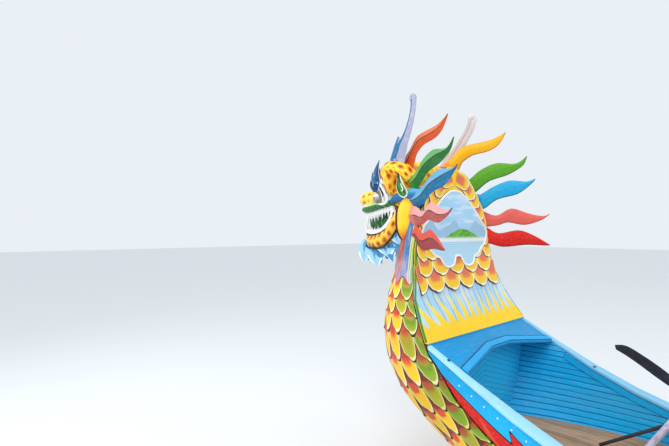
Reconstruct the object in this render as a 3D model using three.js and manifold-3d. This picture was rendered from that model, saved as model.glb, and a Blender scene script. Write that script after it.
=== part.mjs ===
// River dragon boat with a carved dragon head, an open foredeck and a long windowed cabin.
// Millimetres. Origin on the centreline at the waterline amidships, +X to the bow, +Y to port, +Z up.
import * as THREE from "three";
import { mergeVertices } from "three/addons/utils/BufferGeometryUtils.js";
import Module from "manifold-3d";

const wasm = await Module();
wasm.setup();

// Driving dimensions
const GAP = 0.3;
const BOW_X = 5000;
const TRANSOM_X = -6500;
const TRANSOM_THICKNESS = 50;
const PLANK = 45;
const BILGE_TOP = 120;
const CAP_HEIGHT = 30;
const CAP_INNER = 85;
const CAP_OUTER = 25;
const FOREDECK_TOP = 510;
const BOARD = 30;
const LINING = 12;
const CABIN_FRONT_X = 2500;
const CABIN_REAR_X = -4400;
const CABIN_MIDDLE_X = -950;
const WALL = 30;
const ROOF_CROWN = 2230;
const ROOF_CAMBER = 0.00016;
const ROOF_THICKNESS = 35;
const DOORWAY_HALF = 420;
const DOORWAY_SILL = 545;
const DOORWAY_TOP = 1900;
const STERN_DECK_TOP = 380;
const PANEL_THICKNESS = 25;
const RUDDER_X = -6150;
const STOCK_RADIUS = 20;
const STOCK_BORE = 21;
const SHAFT_RADIUS = 18;
const PROPELLER_RADIUS = 150;

// Hull lines at stations along the boat: half width at the sheer, sheer height (top of the cap),
// keel height, share of the width kept at the bottom, and squareness of the bilge.
const HULL_LINES = [
  { x: -6500, half: 700, sheer: 880, keel: 130, flare: 0.86, square: 3.0 },
  { x: -6000, half: 800, sheer: 790, keel: 20, flare: 0.86, square: 3.4 },
  { x: -5400, half: 900, sheer: 715, keel: -140, flare: 0.87, square: 4.0 },
  { x: -4500, half: 1010, sheer: 650, keel: -290, flare: 0.88, square: 4.6 },
  { x: -3000, half: 1090, sheer: 600, keel: -350, flare: 0.88, square: 5.2 },
  { x: -500, half: 1120, sheer: 580, keel: -350, flare: 0.88, square: 5.4 },
  { x: 1200, half: 1060, sheer: 590, keel: -350, flare: 0.88, square: 5.0 },
  { x: 2400, half: 950, sheer: 615, keel: -340, flare: 0.88, square: 4.4 },
  { x: 3200, half: 845, sheer: 670, keel: -280, flare: 0.90, square: 3.4 },
  { x: 3800, half: 775, sheer: 765, keel: -150, flare: 0.93, square: 2.8 },
  { x: 4400, half: 757, sheer: 985, keel: 60, flare: 0.97, square: 2.3 },
  { x: BOW_X, half: 758, sheer: 1292, keel: 300, flare: 1.0, square: 2.0 },
];

// Neck and its aft panel at heights above the water: aft face, panel half width, front of the stem.
const NECK_LINES = [
  { z: 1300.3, back: 5000, half: 758, front: 5777 },
  { z: 1390, back: 5058, half: 730, front: 5770 },
  { z: 1580, back: 5162, half: 675, front: 5723 },
  { z: 1760, back: 5217, half: 602, front: 5672 },
  { z: 1960, back: 5250, half: 550, front: 5638 },
  { z: 2220, back: 5255, half: 485, front: 5600 },
  { z: 2340, back: 5261, half: 415, front: 5570 },
  { z: 2425, back: 5265, half: 332, front: 5530 },
  { z: 2540, back: 5270, half: 215, front: 5460 },
  { z: 2655, back: 5275, half: 57, front: 5380 },
];

// Front of the stem below the neck, from the keel up to the neck.
const STEM_LINES = [
  { z: 320, front: 5060 },
  { z: 400, front: 5090 },
  { z: 500, front: 5140 },
  { z: 600, front: 5240 },
  { z: 700, front: 5400 },
  { z: 800, front: 5570 },
  { z: 980, front: 5706 },
  { z: 1150, front: 5764 },
  { z: 1300, front: 5777 },
];

// Reads one column of a table at a place between its rows, on a smooth curve through them.
function along(table, axis, column, place) {
  const last = table.length - 1;
  let row = 0;
  while (row < last - 1 && place > table[row + 1][axis]) {
    row += 1;
  }
  const slope = (i) => {
    const low = table[Math.max(i - 1, 0)];
    const high = table[Math.min(i + 1, last)];
    return (high[column] - low[column]) / (high[axis] - low[axis]);
  };
  const start = table[row];
  const end = table[row + 1];
  const span = end[axis] - start[axis];
  const t = Math.min(Math.max((place - start[axis]) / span, 0), 1);
  const t2 = t * t;
  const t3 = t2 * t;
  return (2 * t3 - 3 * t2 + 1) * start[column] + (t3 - 2 * t2 + t) * span * slope(row)
    + (3 * t2 - 2 * t3) * end[column] + (t3 - t2) * span * slope(row + 1);
}

const sheerAt = (x) => along(HULL_LINES, "x", "sheer", x);
const halfAt = (x) => along(HULL_LINES, "x", "half", x);

function range(start, end, steps) {
  return Array.from({ length: steps + 1 }, (_, i) => start + ((end - start) * i) / steps);
}

// Solids
function toManifold(geometry) {
  const bare = geometry.clone();
  bare.deleteAttribute("normal");
  bare.deleteAttribute("uv");
  const merged = mergeVertices(bare, 1e-3);
  const mesh = new wasm.Mesh({
    numProp: 3,
    vertProperties: new Float32Array(merged.attributes.position.array),
    triVerts: new Uint32Array(merged.index.array),
  });
  return new wasm.Manifold(mesh);
}

function toGeometry(solid) {
  const mesh = solid.getMesh();
  const geometry = new THREE.BufferGeometry();
  geometry.setAttribute("position", new THREE.BufferAttribute(Float32Array.from(mesh.vertProperties), 3));
  geometry.setIndex(new THREE.BufferAttribute(Uint32Array.from(mesh.triVerts), 1));
  return geometry;
}

const reach = (a, b) => Math.hypot(a[0] - b[0], a[1] - b[1], a[2] - b[2]);

// Skins a list of rings that have the same number of points, and closes both ends.
// Each four-cornered face is split along its shorter diagonal, so that both sides of the boat match.
function loft(rings) {
  const count = rings[0].length;
  const centre = (ring) => ring.reduce((sum, p) => sum.map((v, i) => v + p[i] / count), [0, 0, 0]);
  const points = rings.flat().concat([centre(rings[0]), centre(rings[rings.length - 1])]);
  const firstCentre = points.length - 2;
  const lastCentre = points.length - 1;
  const top = (rings.length - 1) * count;
  const faces = [];
  for (let i = 0; i < count; i += 1) {
    const next = (i + 1) % count;
    for (let r = 0; r < rings.length - 1; r += 1) {
      const a = r * count + i;
      const b = r * count + next;
      if (reach(points[a], points[b + count]) < reach(points[b], points[a + count])) {
        faces.push(a, b, b + count, a, b + count, a + count);
      } else {
        faces.push(a, b, a + count, b, b + count, a + count);
      }
    }
    faces.push(firstCentre, next, i, lastCentre, top + i, top + next);
  }
  const geometry = new THREE.BufferGeometry();
  geometry.setAttribute("position", new THREE.Float32BufferAttribute(points.flat(), 3));
  geometry.setIndex(faces);
  return outward(geometry);
}

function outward(geometry) {
  const p = geometry.attributes.position;
  const index = geometry.index.array;
  const corner = [new THREE.Vector3(), new THREE.Vector3(), new THREE.Vector3()];
  let volume = 0;
  for (let i = 0; i < index.length; i += 3) {
    corner.forEach((v, k) => v.fromBufferAttribute(p, index[i + k]));
    volume += corner[0].dot(corner[1].cross(corner[2]));
  }
  if (volume < 0) {
    for (let i = 0; i < index.length; i += 3) {
      [index[i], index[i + 1]] = [index[i + 1], index[i]];
    }
  }
  return geometry;
}

const loftSolid = (rings) => toManifold(loft(rings));

function box(x, y, z) {
  const geometry = new THREE.BoxGeometry(x[1] - x[0], y[1] - y[0], z[1] - z[0]);
  geometry.translate((x[0] + x[1]) / 2, (y[0] + y[1]) / 2, (z[0] + z[1]) / 2);
  return toManifold(geometry);
}

// A round bar from one point to another, with its own radius at each end.
function bar(from, to, radius, endRadius = radius, sides = 12) {
  const start = new THREE.Vector3(...from);
  const end = new THREE.Vector3(...to);
  const geometry = new THREE.CylinderGeometry(endRadius, radius, start.distanceTo(end), sides);
  const direction = end.clone().sub(start).normalize();
  geometry.applyQuaternion(new THREE.Quaternion().setFromUnitVectors(new THREE.Vector3(0, 1, 0), direction));
  const middle = start.add(end).multiplyScalar(0.5);
  geometry.translate(middle.x, middle.y, middle.z);
  return toManifold(geometry);
}

// A flat outline pushed straight up to a depth.
function extruded(outline, depth) {
  return new THREE.ExtrudeGeometry(outline, { depth, bevelEnabled: false, curveSegments: 8 });
}

// Oval rings along X from a table with columns x, half, bottom and top.
function ovalLoft(table, grow = 0, points = 16, square = 2.6) {
  const power = (value) => Math.sign(value) * Math.abs(value) ** (2 / square);
  return loftSolid(table.map((row, i) => {
    const push = i === 0 ? -grow : i === table.length - 1 ? grow : 0;
    const middle = (row.bottom + row.top) / 2;
    const height = (row.top - row.bottom) / 2 + grow;
    return range(0, 2 * Math.PI, points).slice(0, points).map((angle) => [
      row.x + push,
      (row.half + grow) * power(Math.cos(angle)),
      middle + height * power(Math.sin(angle)),
    ]);
  }));
}

const mirrored = (solid) => solid.mirror([0, 1, 0]);

function largest(solid) {
  return solid.decompose().reduce((best, piece) => (piece.volume() > best.volume() ? piece : best));
}

const boat = new THREE.Group();
boat.name = "dragon_boat";

const PAINT = {
  skyBlue: [0x1f9fd6, 0.5],
  deepBlue: [0x0d6fae, 0.5],
  paleBlue: [0x9ed4ee, 0.5],
  white: [0xe9eef0, 0.5],
  yellow: [0xf4b81c, 0.5],
  gold: [0xf2c230, 0.45],
  orange: [0xe8641c, 0.5],
  red: [0xc8201c, 0.5],
  salmon: [0xd9605a, 0.5],
  green: [0x2f9a45, 0.5],
  bareWood: [0x8c6b52, 0.8],
  darkWood: [0x3a2d28, 0.7],
  steel: [0x70757a, 0.45],
  bronze: [0xa0763a, 0.4],
};

function add(name, solid, paint) {
  const [color, roughness] = PAINT[paint];
  const metalness = paint === "steel" || paint === "bronze" ? 0.9 : 0;
  const material = new THREE.MeshStandardMaterial({ color, roughness, metalness });
  const mesh = new THREE.Mesh(toGeometry(solid), material);
  mesh.name = name;
  boat.add(mesh);
}

function addPair(name, portSolid, paint, starboardPaint = paint) {
  add(`${name}_port`, portSolid, paint);
  add(`${name}_starboard`, mirrored(portSolid), starboardPaint);
}

// Hull
const HULL_STATIONS = HULL_LINES.flatMap((row, i) => (
  i === 0 ? [row.x] : [(row.x + HULL_LINES[i - 1].x) / 2, row.x]
));

// Half width of the hull at a place along it and a height, for the outside moved in by inset.
function hullHalf(x, z, inset = 0) {
  const keel = along(HULL_LINES, "x", "keel", x) + inset;
  const square = along(HULL_LINES, "x", "square", x);
  const flare = along(HULL_LINES, "x", "flare", x);
  const share = Math.min(Math.max((z - keel) / (sheerAt(x) - keel), 0), 1);
  const cosine = (1 - share) ** (square / 2);
  const sine = Math.sqrt(Math.max(1 - cosine * cosine, 0));
  return (halfAt(x) * (flare + (1 - flare) * share) - inset) * sine ** (2 / square);
}

// Hull volume up to lift above the sheer, with its skin moved in by inset.
function hullVolume(inset, lift, stations = HULL_STATIONS) {
  const turns = range(0, Math.PI / 2, 9);
  return loftSolid(stations.map((x) => {
    const keel = along(HULL_LINES, "x", "keel", x) + inset;
    const square = along(HULL_LINES, "x", "square", x);
    const top = sheerAt(x);
    const side = turns.map((turn) => {
      const z = Math.min(keel + (top - keel) * (1 - Math.cos(turn) ** (2 / square)), top + lift);
      return [hullHalf(x, z, inset), z];
    });
    side[0][0] = 0;
    const rim = side[side.length - 1][0];
    const port = side.map(([y, z]) => [x, y, z]);
    const starboard = side.slice(1).reverse().map(([y, z]) => [x, -y, z]);
    const wallTops = lift > 0 ? [[x, rim, top + lift], [x, -rim, top + lift]] : [];
    return [...port, ...wallTops, ...starboard];
  }));
}

const EVERYWHERE = [-9000, 9000];
const hullOutside = hullVolume(0, -CAP_HEIGHT);
const hullInside = hullVolume(PLANK, 1500);
const hullFit = hullVolume(PLANK + GAP, 1500);

// Lengths of side planking, butted at the bulkheads.
const SIDE_LENGTHS = [
  { name: "hull_side_bow", x: [CABIN_FRONT_X + GAP, 6000] },
  { name: "hull_side_main", x: [CABIN_REAR_X + GAP, CABIN_FRONT_X] },
  { name: "hull_side_stern", x: [-7000, CABIN_REAR_X] },
];

function addHull() {
  const shaftBore = bar(shaftPoint(-60), shaftPoint(900), SHAFT_RADIUS + 3);
  const stockBore = bar([RUDDER_X, 0, -400], [RUDDER_X, 0, 400], STOCK_BORE, STOCK_BORE, 16);
  const below = box([TRANSOM_X - 10, BOW_X + 10], EVERYWHERE, [-1000, BILGE_TOP]);
  add("hull_bottom", hullOutside.intersect(below).subtract(shaftBore).subtract(stockBore), "darkWood");
  const above = (x) => box(x, EVERYWHERE, [BILGE_TOP + GAP, 3000]);
  const ahead = above([TRANSOM_X + TRANSOM_THICKNESS + GAP, 6000]);
  const sides = hullOutside.subtract(hullInside).intersect(ahead);
  SIDE_LENGTHS.forEach(({ name, x }) => {
    addPair(name, largest(sides.intersect(box(x, [GAP / 2, 3000], EVERYWHERE))), "yellow");
  });
  add("transom", hullOutside.intersect(above([TRANSOM_X - 10, TRANSOM_X + TRANSOM_THICKNESS])), "red");
}

function capRing(x, grow) {
  const top = sheerAt(x);
  const half = halfAt(x);
  const narrow = THREE.MathUtils.smoothstep(x, 4200, BOW_X);
  const inner = half - CAP_INNER + narrow * 45;
  const outer = half + CAP_OUTER - narrow * 18;
  const low = top - CAP_HEIGHT + GAP;
  return [
    [x, inner - grow, low - grow], [x, outer + grow, low - grow],
    [x, outer + grow, top + grow], [x, inner - grow, top + grow],
  ];
}

function gunwaleCap(grow = 0) {
  const stations = HULL_STATIONS.map((x) => Math.min(x, BOW_X - GAP));
  return loftSolid(stations.map((x) => capRing(x, grow)));
}

// Neck, stem and the aft panel
const NECK_SQUARE = 2.2;

function neckSlice(z, back, half, front, grow) {
  const power = (value) => Math.sign(value) * Math.abs(value) ** (2 / NECK_SQUARE);
  const outline = range(-Math.PI / 2, Math.PI / 2, 16).map((turn) => [
    back + (front - back + grow) * power(Math.cos(turn)),
    (half + grow) * power(Math.sin(turn)),
    z,
  ]);
  outline[0][0] = back - grow;
  outline[outline.length - 1][0] = back - grow;
  return outline;
}

const NECK_EDGE = 8;

function neckSolid(grow = 0) {
  return loftSolid(NECK_LINES.map((row, i) => neckSlice(
    row.z + (i === 0 ? GAP - grow : grow),
    row.back + PANEL_THICKNESS + GAP,
    row.half - NECK_EDGE,
    row.front,
    grow,
  )));
}

function panelSolid(grow = 0) {
  return loftSolid(NECK_LINES.map((row, i) => {
    const z = row.z + (i === 0 ? GAP - grow : grow);
    const back = row.back - grow;
    const front = row.back + PANEL_THICKNESS + grow;
    const half = row.half + grow;
    return [[back, -half, z], [front, -half, z], [front, half, z], [back, half, z]];
  }));
}

function addBow() {
  add("bow_stem", loftSolid(STEM_LINES.map((row) => neckSlice(
    row.z, BOW_X + GAP, hullHalf(BOW_X, row.z), row.front, 0,
  ))), "yellow");
  add("neck", neckSolid(), "yellow");
  add("neck_panel", panelSolid(), "paleBlue");
}

// Head
const SKULL = [
  { x: 5330, half: 260, bottom: 2380, top: 2600 },
  { x: 5440, half: 365, bottom: 2310, top: 2700 },
  { x: 5620, half: 400, bottom: 2280, top: 2765 },
  { x: 5800, half: 375, bottom: 2280, top: 2790 },
  { x: 5950, half: 300, bottom: 2300, top: 2780 },
  { x: 6060, half: 190, bottom: 2360, top: 2700 },
];
const SNOUT = [
  { x: 5980, half: 265, bottom: 2270, top: 2520 },
  { x: 6120, half: 240, bottom: 2260, top: 2530 },
  { x: 6230, half: 200, bottom: 2260, top: 2500 },
  { x: 6305, half: 120, bottom: 2300, top: 2440 },
];
const LOWER_JAW = [
  { x: 5540, half: 280, bottom: 2100, top: 2250 },
  { x: 5700, half: 300, bottom: 2030, top: 2220 },
  { x: 5900, half: 270, bottom: 1950, top: 2120 },
  { x: 6080, half: 220, bottom: 1940, top: 2080 },
  { x: 6240, half: 110, bottom: 1995, top: 2090 },
];

function addHead() {
  const neckFit = neckSolid(GAP);
  const panelFit = panelSolid(GAP);
  const skull = ovalLoft(SKULL).subtract(neckFit).subtract(panelFit);
  add("skull", largest(skull), "yellow");
  add("snout", largest(ovalLoft(SNOUT).subtract(ovalLoft(SKULL, GAP))), "orange");
  add("lower_jaw", largest(ovalLoft(LOWER_JAW).subtract(neckFit).subtract(ovalLoft(SKULL, GAP))), "orange");
  addHorns();
  addPair("ear", largest(earSolid(0).subtract(ovalLoft(SKULL, GAP))), "green");
  addBeard(neckFit);
  addFlames(neckFit, panelFit);
}

const HORN_CURVE = new THREE.QuadraticBezierCurve3(
  new THREE.Vector3(5690, 362, 2580), new THREE.Vector3(5475, 432, 2890), new THREE.Vector3(5350, 470, 3205),
);

function addHorns() {
  const rings = range(0, 1, 7).map((t) => {
    const middle = HORN_CURVE.getPoint(t);
    const depth = 52 * (1 - t) ** 0.8 + 8;
    const breadth = 30 * (1 - t) ** 0.8 + 8;
    return range(0, 2 * Math.PI, 10).slice(0, 10).map((turn) => [
      middle.x + depth * Math.cos(turn), middle.y + breadth * Math.sin(turn), middle.z,
    ]);
  });
  addPair("horn", largest(loftSolid(rings).subtract(ovalLoft(SKULL, GAP))), "white");
}

const EAR = [
  { x: 5440, half: 8, bottom: 2420, top: 2450 },
  { x: 5480, half: 20, bottom: 2385, top: 2530 },
  { x: 5540, half: 22, bottom: 2385, top: 2620 },
  { x: 5600, half: 10, bottom: 2430, top: 2560 },
];
const EAR_PLACE = [0, 405, 0];

function earSolid(grow) {
  return ovalLoft(EAR, grow, 10).translate(EAR_PLACE);
}

// Beard of petals round the jaw at heights above the water: aft end, forward end and half width.
const BEARD_RINGS = [
  { z: 2010, aft: 5660, fore: 6225, half: 275 },
  { z: 1930, aft: 5700, fore: 6250, half: 260 },
  { z: 1850, aft: 5790, fore: 6240, half: 215 },
];
const BEARD = { petals: 9, thickness: 22, tipLow: 1780, tipInset: 25 };

function beardRing({ z, aft, fore, half }, inset, tips) {
  const count = 2 * BEARD.petals;
  return range(0, 2 * Math.PI, count).slice(0, count).map((turn, i) => {
    const pull = inset + (tips && i % 2 ? BEARD.tipInset : 0);
    return [
      (aft + fore) / 2 + ((fore - aft) / 2 - pull) * Math.cos(turn),
      (half - pull) * Math.sin(turn),
      tips && i % 2 ? BEARD.tipLow : z,
    ];
  });
}

function addBeard(neckFit) {
  const rings = (inset) => BEARD_RINGS.map((row, i) => beardRing(row, inset, i === BEARD_RINGS.length - 1));
  const inner = rings(BEARD.thickness);
  inner[0].forEach((point) => {
    point[2] += 100;
  });
  const shell = loftSolid(rings(0)).subtract(loftSolid(inner));
  add("beard", largest(shell.subtract(ovalLoft(LOWER_JAW, GAP)).subtract(neckFit)), "paleBlue");
}

// Mane flames from the top down: root and tip of the port one, and its edges from root to tip.
// An edge is a list of places in the flame's upright plane: distance from the root, and height above it.
const FLAMES = [
  {
    root: [5545, 300, 2630], tip: [5030, 460, 2990], paint: "orange",
    upper: [[-60, -60], [60, -30], [131, 115], [261, 255], [431, 280]],
    lower: [[-20, -140], [166, -50], [261, 89], [372, 168], [516, 264]],
  },
  {
    root: [5487, 360, 2520], tip: [4895, 590, 2775], paint: "green",
    upper: [[-60, 40], [110, 55], [236, 156], [375, 209], [538, 187]],
    lower: [[-40, -90], [176, -60], [310, 44], [475, 96], [600, 164]],
  },
  {
    root: [5420, 400, 2360], tip: [4840, 630, 2570], paint: "skyBlue",
    upper: [[-60, 40], [110, 66], [274, 158], [410, 205], [553, 179]],
    lower: [[-60, -80], [163, -58], [303, 34], [481, 81], [600, 165]],
  },
  {
    root: [5333, 480, 2230], tip: [4780, 790, 2255], paint: "salmon",
    upper: [[-90, 70], [56, 62], [181, 54], [311, 93], [460, 37], [575, 8]],
    lower: [[-90, -90], [85, -87], [196, -72], [283, -46], [425, -70], [571, -40]],
  },
  {
    root: [5300, 500, 2070], tip: [4800, 850, 1975], paint: "red",
    upper: [[-90, 70], [47, 60], [188, 22], [370, 41], [507, -20]],
    lower: [[-90, -70], [62, -70], [203, -114], [406, -90], [571, -116]],
  },
];
const FLAME_THICKNESS = 24;

function flameSolid({ root, tip, upper, lower }) {
  const start = new THREE.Vector3(...root);
  const end = new THREE.Vector3(...tip);
  const run = end.clone().sub(start).setZ(0).normalize();
  const length = end.clone().sub(start).dot(run);
  const point = [[length, tip[2] - root[2]]];
  const curve = (places) => new THREE.SplineCurve(places.map(([u, v]) => new THREE.Vector2(u, v)));
  const above = curve(upper.concat(point)).getPoints(12);
  const below = curve(lower.concat(point)).getPoints(12).slice(0, -1).reverse();
  const outline = new THREE.Shape(above.concat(below));
  const geometry = extruded(outline, FLAME_THICKNESS);
  geometry.translate(0, 0, -FLAME_THICKNESS / 2);
  const up = new THREE.Vector3(0, 0, 1);
  const facing = run.clone().cross(up);
  geometry.applyMatrix4(new THREE.Matrix4().makeBasis(run, up, facing).setPosition(start));
  return toManifold(geometry);
}

function addFlames(neckFit, panelFit) {
  const others = neckFit.add(panelFit).add(ovalLoft(SKULL, GAP)).add(earSolid(GAP));
  FLAMES.forEach((flame, i) => {
    const solid = flameSolid(flame).subtract(others);
    addPair(`mane_flame_${i + 1}`, largest(solid), flame.paint);
  });
}

// Foredeck
function addForedeck() {
  const lengthwise = [CABIN_FRONT_X + WALL + GAP, BOW_X - GAP];
  const floorFit = hullVolume(PLANK + 2 * GAP + LINING, 1500);
  const floor = floorFit.intersect(box(lengthwise, EVERYWHERE, [FOREDECK_TOP - BOARD, FOREDECK_TOP]));
  add("foredeck_floor", floor, "bareWood");
  const strip = hullFit.subtract(hullVolume(PLANK + GAP + LINING, 1500));
  const lining = strip.intersect(box(lengthwise, [0, 2000], [FOREDECK_TOP - BOARD, 3000]));
  const underCap = gunwaleCap(GAP);
  const belowSheer = hullVolume(0, -CAP_HEIGHT - GAP);
  addPair("foredeck_lining", largest(lining.intersect(belowSheer).subtract(underCap)), "skyBlue");
  addBowBoard();
}

// Sloping board between the caps below the panel, with its aft edge notched to the middle.
const BOW_BOARD = { portAft: 4680, middleAft: 4840, thickness: 22 };

function addBowBoard() {
  const { portAft, middleAft, thickness } = BOW_BOARD;
  const outline = [
    [BOW_X - GAP, -900], [BOW_X - GAP, 900], [portAft, 900],
    [middleAft, 150], [middleAft, -150], [portAft, -900],
  ].map(([x, y]) => new THREE.Vector2(x, y));
  const column = toManifold(extruded(new THREE.Shape(outline), 2000));
  const stations = [portAft - 50, 4780, 4880, BOW_X - GAP];
  const slab = loftSolid(stations.map((x) => {
    const top = sheerAt(x) - 4;
    const half = halfAt(x) - 20;
    return [[x, -half, top - thickness], [x, half, top - thickness], [x, half, top], [x, -half, top]];
  }));
  const caps = gunwaleCap(GAP);
  const board = slab.intersect(column).subtract(caps).subtract(mirrored(caps));
  add("bow_board", largest(board), "deepBlue");
}

// Cabin
const WALL_INNER = 22;
const WINDOWS = { count: 6, width: 820, low: 900, high: 1550, firstX: -4060, pitch: 1080 };

// The side walls are straight in two lengths, which meet at a post amidships.
const SIDE_WALLS = [
  { name: "cabin_side_aft", x: [CABIN_REAR_X - WALL, CABIN_MIDDLE_X - GAP / 2] },
  { name: "cabin_side_fore", x: [CABIN_MIDDLE_X + GAP / 2, CABIN_FRONT_X + WALL] },
];

function sideWall(x, roofCut, grow = 0) {
  const wall = loftSolid([x[0] - grow, x[1] + grow].map((place) => {
    const inner = halfAt(place) - WALL_INNER - grow;
    const outer = inner + WALL + 2 * grow;
    return [[place, inner, 500], [place, outer, 500], [place, outer, 2400], [place, inner, 2400]];
  }));
  return largest(wall.subtract(gunwaleCap(GAP)).subtract(roofCut));
}

function addCabin() {
  const roofCut = roofArch(GAP);
  SIDE_WALLS.forEach(({ name, x }) => {
    let side = sideWall(x, roofCut);
    for (let i = 0; i < WINDOWS.count; i += 1) {
      const start = WINDOWS.firstX + i * WINDOWS.pitch;
      side = side.subtract(box([start, start + WINDOWS.width], EVERYWHERE, [WINDOWS.low, WINDOWS.high]));
    }
    addPair(name, side, "white");
  });
  add("cabin_floor", hullFit.intersect(box([CABIN_REAR_X, CABIN_FRONT_X - GAP], EVERYWHERE,
    [BILGE_TOP + GAP, BILGE_TOP + BOARD])), "bareWood");
  const hinges = wallHinge(1).add(wallHinge(-1));
  add("cabin_front", endWall(CABIN_FRONT_X, roofCut).add(hinges), "skyBlue");
  add("cabin_rear", endWall(CABIN_REAR_X - WALL, roofCut), "skyBlue");
  addRoof();
}

function endWall(x, roofCut) {
  const inside = range(x, x + WALL, 1).map((station) => {
    const half = halfAt(station) - WALL_INNER - GAP;
    const low = BILGE_TOP + GAP;
    return [[station, -half, low], [station, half, low], [station, half, 2400], [station, -half, 2400]];
  });
  const spanX = [x, x + WALL];
  const upper = loftSolid(inside);
  const lower = hullFit.intersect(box(spanX, EVERYWHERE, [BILGE_TOP + GAP, sheerAt(x) + 1]));
  const doorway = box([x - 10, x + WALL + 10], [-DOORWAY_HALF, DOORWAY_HALF], [DOORWAY_SILL, DOORWAY_TOP]);
  const belowSheer = box(EVERYWHERE, EVERYWHERE, [-500, sheerAt(x)]);
  const fitted = upper.subtract(roofCut).subtract(belowSheer).add(lower);
  const walls = SIDE_WALLS.map((row) => sideWall(row.x, roofCut, GAP));
  const beside = gunwaleCap(GAP).add(walls[0]).add(walls[1]);
  return largest(fitted.subtract(doorway).subtract(beside).subtract(mirrored(beside)));
}

const roofHeight = (y) => ROOF_CROWN - ROOF_CAMBER * y * y;

const ROOF = { overhang: 110, ends: 380, strip: 430, facets: 12, reach: 1290 };
const ROOF_ENDS = [CABIN_REAR_X - ROOF.ends, CABIN_FRONT_X + ROOF.ends];

// The whole width of the roof skin, before its outline is cut.
function roofArch(grow) {
  const across = range(-ROOF.reach, ROOF.reach, ROOF.facets);
  const under = ROOF_THICKNESS + grow;
  const top = across.map((y) => new THREE.Vector2(y, roofHeight(y) + grow));
  const low = across.slice().reverse().map((y) => new THREE.Vector2(y, roofHeight(y) - under));
  const geometry = extruded(new THREE.Shape(top.concat(low)), ROOF_ENDS[1] - ROOF_ENDS[0] + 2 * GAP);
  geometry.applyMatrix4(new THREE.Matrix4().makeBasis(
    new THREE.Vector3(0, 1, 0), new THREE.Vector3(0, 0, 1), new THREE.Vector3(1, 0, 0),
  ).setPosition(ROOF_ENDS[0] - GAP, 0, 0));
  return toManifold(geometry);
}

// Three strips side by side, cut to an outline that follows the hull.
function addRoof() {
  const edge = (x) => new THREE.Vector2(x, halfAt(x) + ROOF.overhang);
  const eave = range(ROOF_ENDS[0], ROOF_ENDS[1], 8).map(edge);
  const otherEave = eave.map((point) => new THREE.Vector2(point.x, -point.y)).reverse();
  const outline = toManifold(extruded(new THREE.Shape(eave.concat(otherEave)), 2 * ROOF_CROWN));
  const strip = (y) => roofArch(0).intersect(outline).intersect(box(EVERYWHERE, y, EVERYWHERE));
  add("roof_middle", strip([-ROOF.strip, ROOF.strip]), "skyBlue");
  addPair("roof_side", strip([ROOF.strip + GAP, ROOF.reach]), "skyBlue");
}

const DOOR = {
  thickness: 26,
  clear: 6,
  hinge: 7,
  hingeX: CABIN_FRONT_X + WALL + 8,
  hingeY: DOORWAY_HALF - 2,
  knuckles: [750, 1600],
  knuckleLength: 60,
};

function doorKnuckle(low, high) {
  return bar([DOOR.hingeX, DOOR.hingeY, low], [DOOR.hingeX, DOOR.hingeY, high], DOOR.hinge, DOOR.hinge, 10);
}

// Knuckles and straps on the wall, each just above its door knuckle.
function wallHinge(side) {
  const front = CABIN_FRONT_X + WALL;
  let hinge = null;
  DOOR.knuckles.forEach((low) => {
    const z = [low + DOOR.knuckleLength + GAP, low + 2 * DOOR.knuckleLength];
    const strap = box([front - 1, DOOR.hingeX - 3], [DOORWAY_HALF + 1, DOORWAY_HALF + 80], z)
      .add(box([front + 1, DOOR.hingeX - 3], [DOOR.hingeY, DOORWAY_HALF + 2], z));
    const knuckle = doorKnuckle(z[0], z[1]);
    const pair = strap.add(knuckle);
    hinge = hinge ? hinge.add(pair) : pair;
  });
  return side > 0 ? hinge : mirrored(hinge);
}

// Port leaf of the double door, with two hinge knuckles on straps at its outer edge.
function addDoors() {
  const front = CABIN_FRONT_X + WALL;
  let leaf = box([front - DOOR.thickness, front], [DOOR.clear, DOORWAY_HALF - DOOR.clear],
    [DOORWAY_SILL + DOOR.clear, DOORWAY_TOP - DOOR.clear]);
  DOOR.knuckles.forEach((low) => {
    const high = low + DOOR.knuckleLength;
    const strap = box([front - 1, DOOR.hingeX - 3], [DOORWAY_HALF - 80, DOOR.hingeY], [low, high]);
    const knuckle = doorKnuckle(low, high);
    leaf = leaf.add(strap).add(knuckle);
  });
  addPair("cabin_door", leaf, "yellow");
}

const BENCH = { x: [-3700, 1700], y: [560, 880], seat: 520, thickness: 30, legs: 6 };

function addBenches() {
  const floor = BILGE_TOP + BOARD + GAP;
  let bench = box(BENCH.x, BENCH.y, [BENCH.seat - BENCH.thickness, BENCH.seat]);
  range(BENCH.x[0], BENCH.x[1] - 40, BENCH.legs - 1).forEach((x) => {
    bench = bench.add(box([x, x + 40], [BENCH.y[0] + 20, BENCH.y[1] - 40], [floor, BENCH.seat - 5]));
  });
  addPair("bench", bench.intersect(hullFit), "bareWood");
}

// Stern: deck, engine under its box, shaft, propeller, rudder and tail
const ENGINE_BOX = { x: [-5420, -4700], half: 320, top: 800, wall: 20 };
const ENGINE = { x: [-5340, -4780], half: 240, top: 700 };
const LID_HINGE = { x: -4686, z: 812, radius: 7, length: 50, places: [-220, 120] };

// Hinge knuckles along the forward edge of the engine lid, shifted to port by offset.
function lidKnuckles(offset) {
  return LID_HINGE.places.map((y) => {
    const low = [LID_HINGE.x, y + offset, LID_HINGE.z];
    const high = [LID_HINGE.x, y + (offset ? 2 : 1) * LID_HINGE.length, LID_HINGE.z];
    return bar(low, high, LID_HINGE.radius, LID_HINGE.radius, 10);
  }).reduce((solid, piece) => solid.add(piece));
}

const SHAFT_HUB = new THREE.Vector3(-5850, 0, -270);
const SHAFT_RISE = THREE.MathUtils.degToRad(10);
const SHAFT_AIM = new THREE.Vector3(Math.cos(SHAFT_RISE), 0, Math.sin(SHAFT_RISE));

function shaftPoint(distance) {
  return SHAFT_HUB.clone().addScaledVector(SHAFT_AIM, distance).toArray();
}

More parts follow.
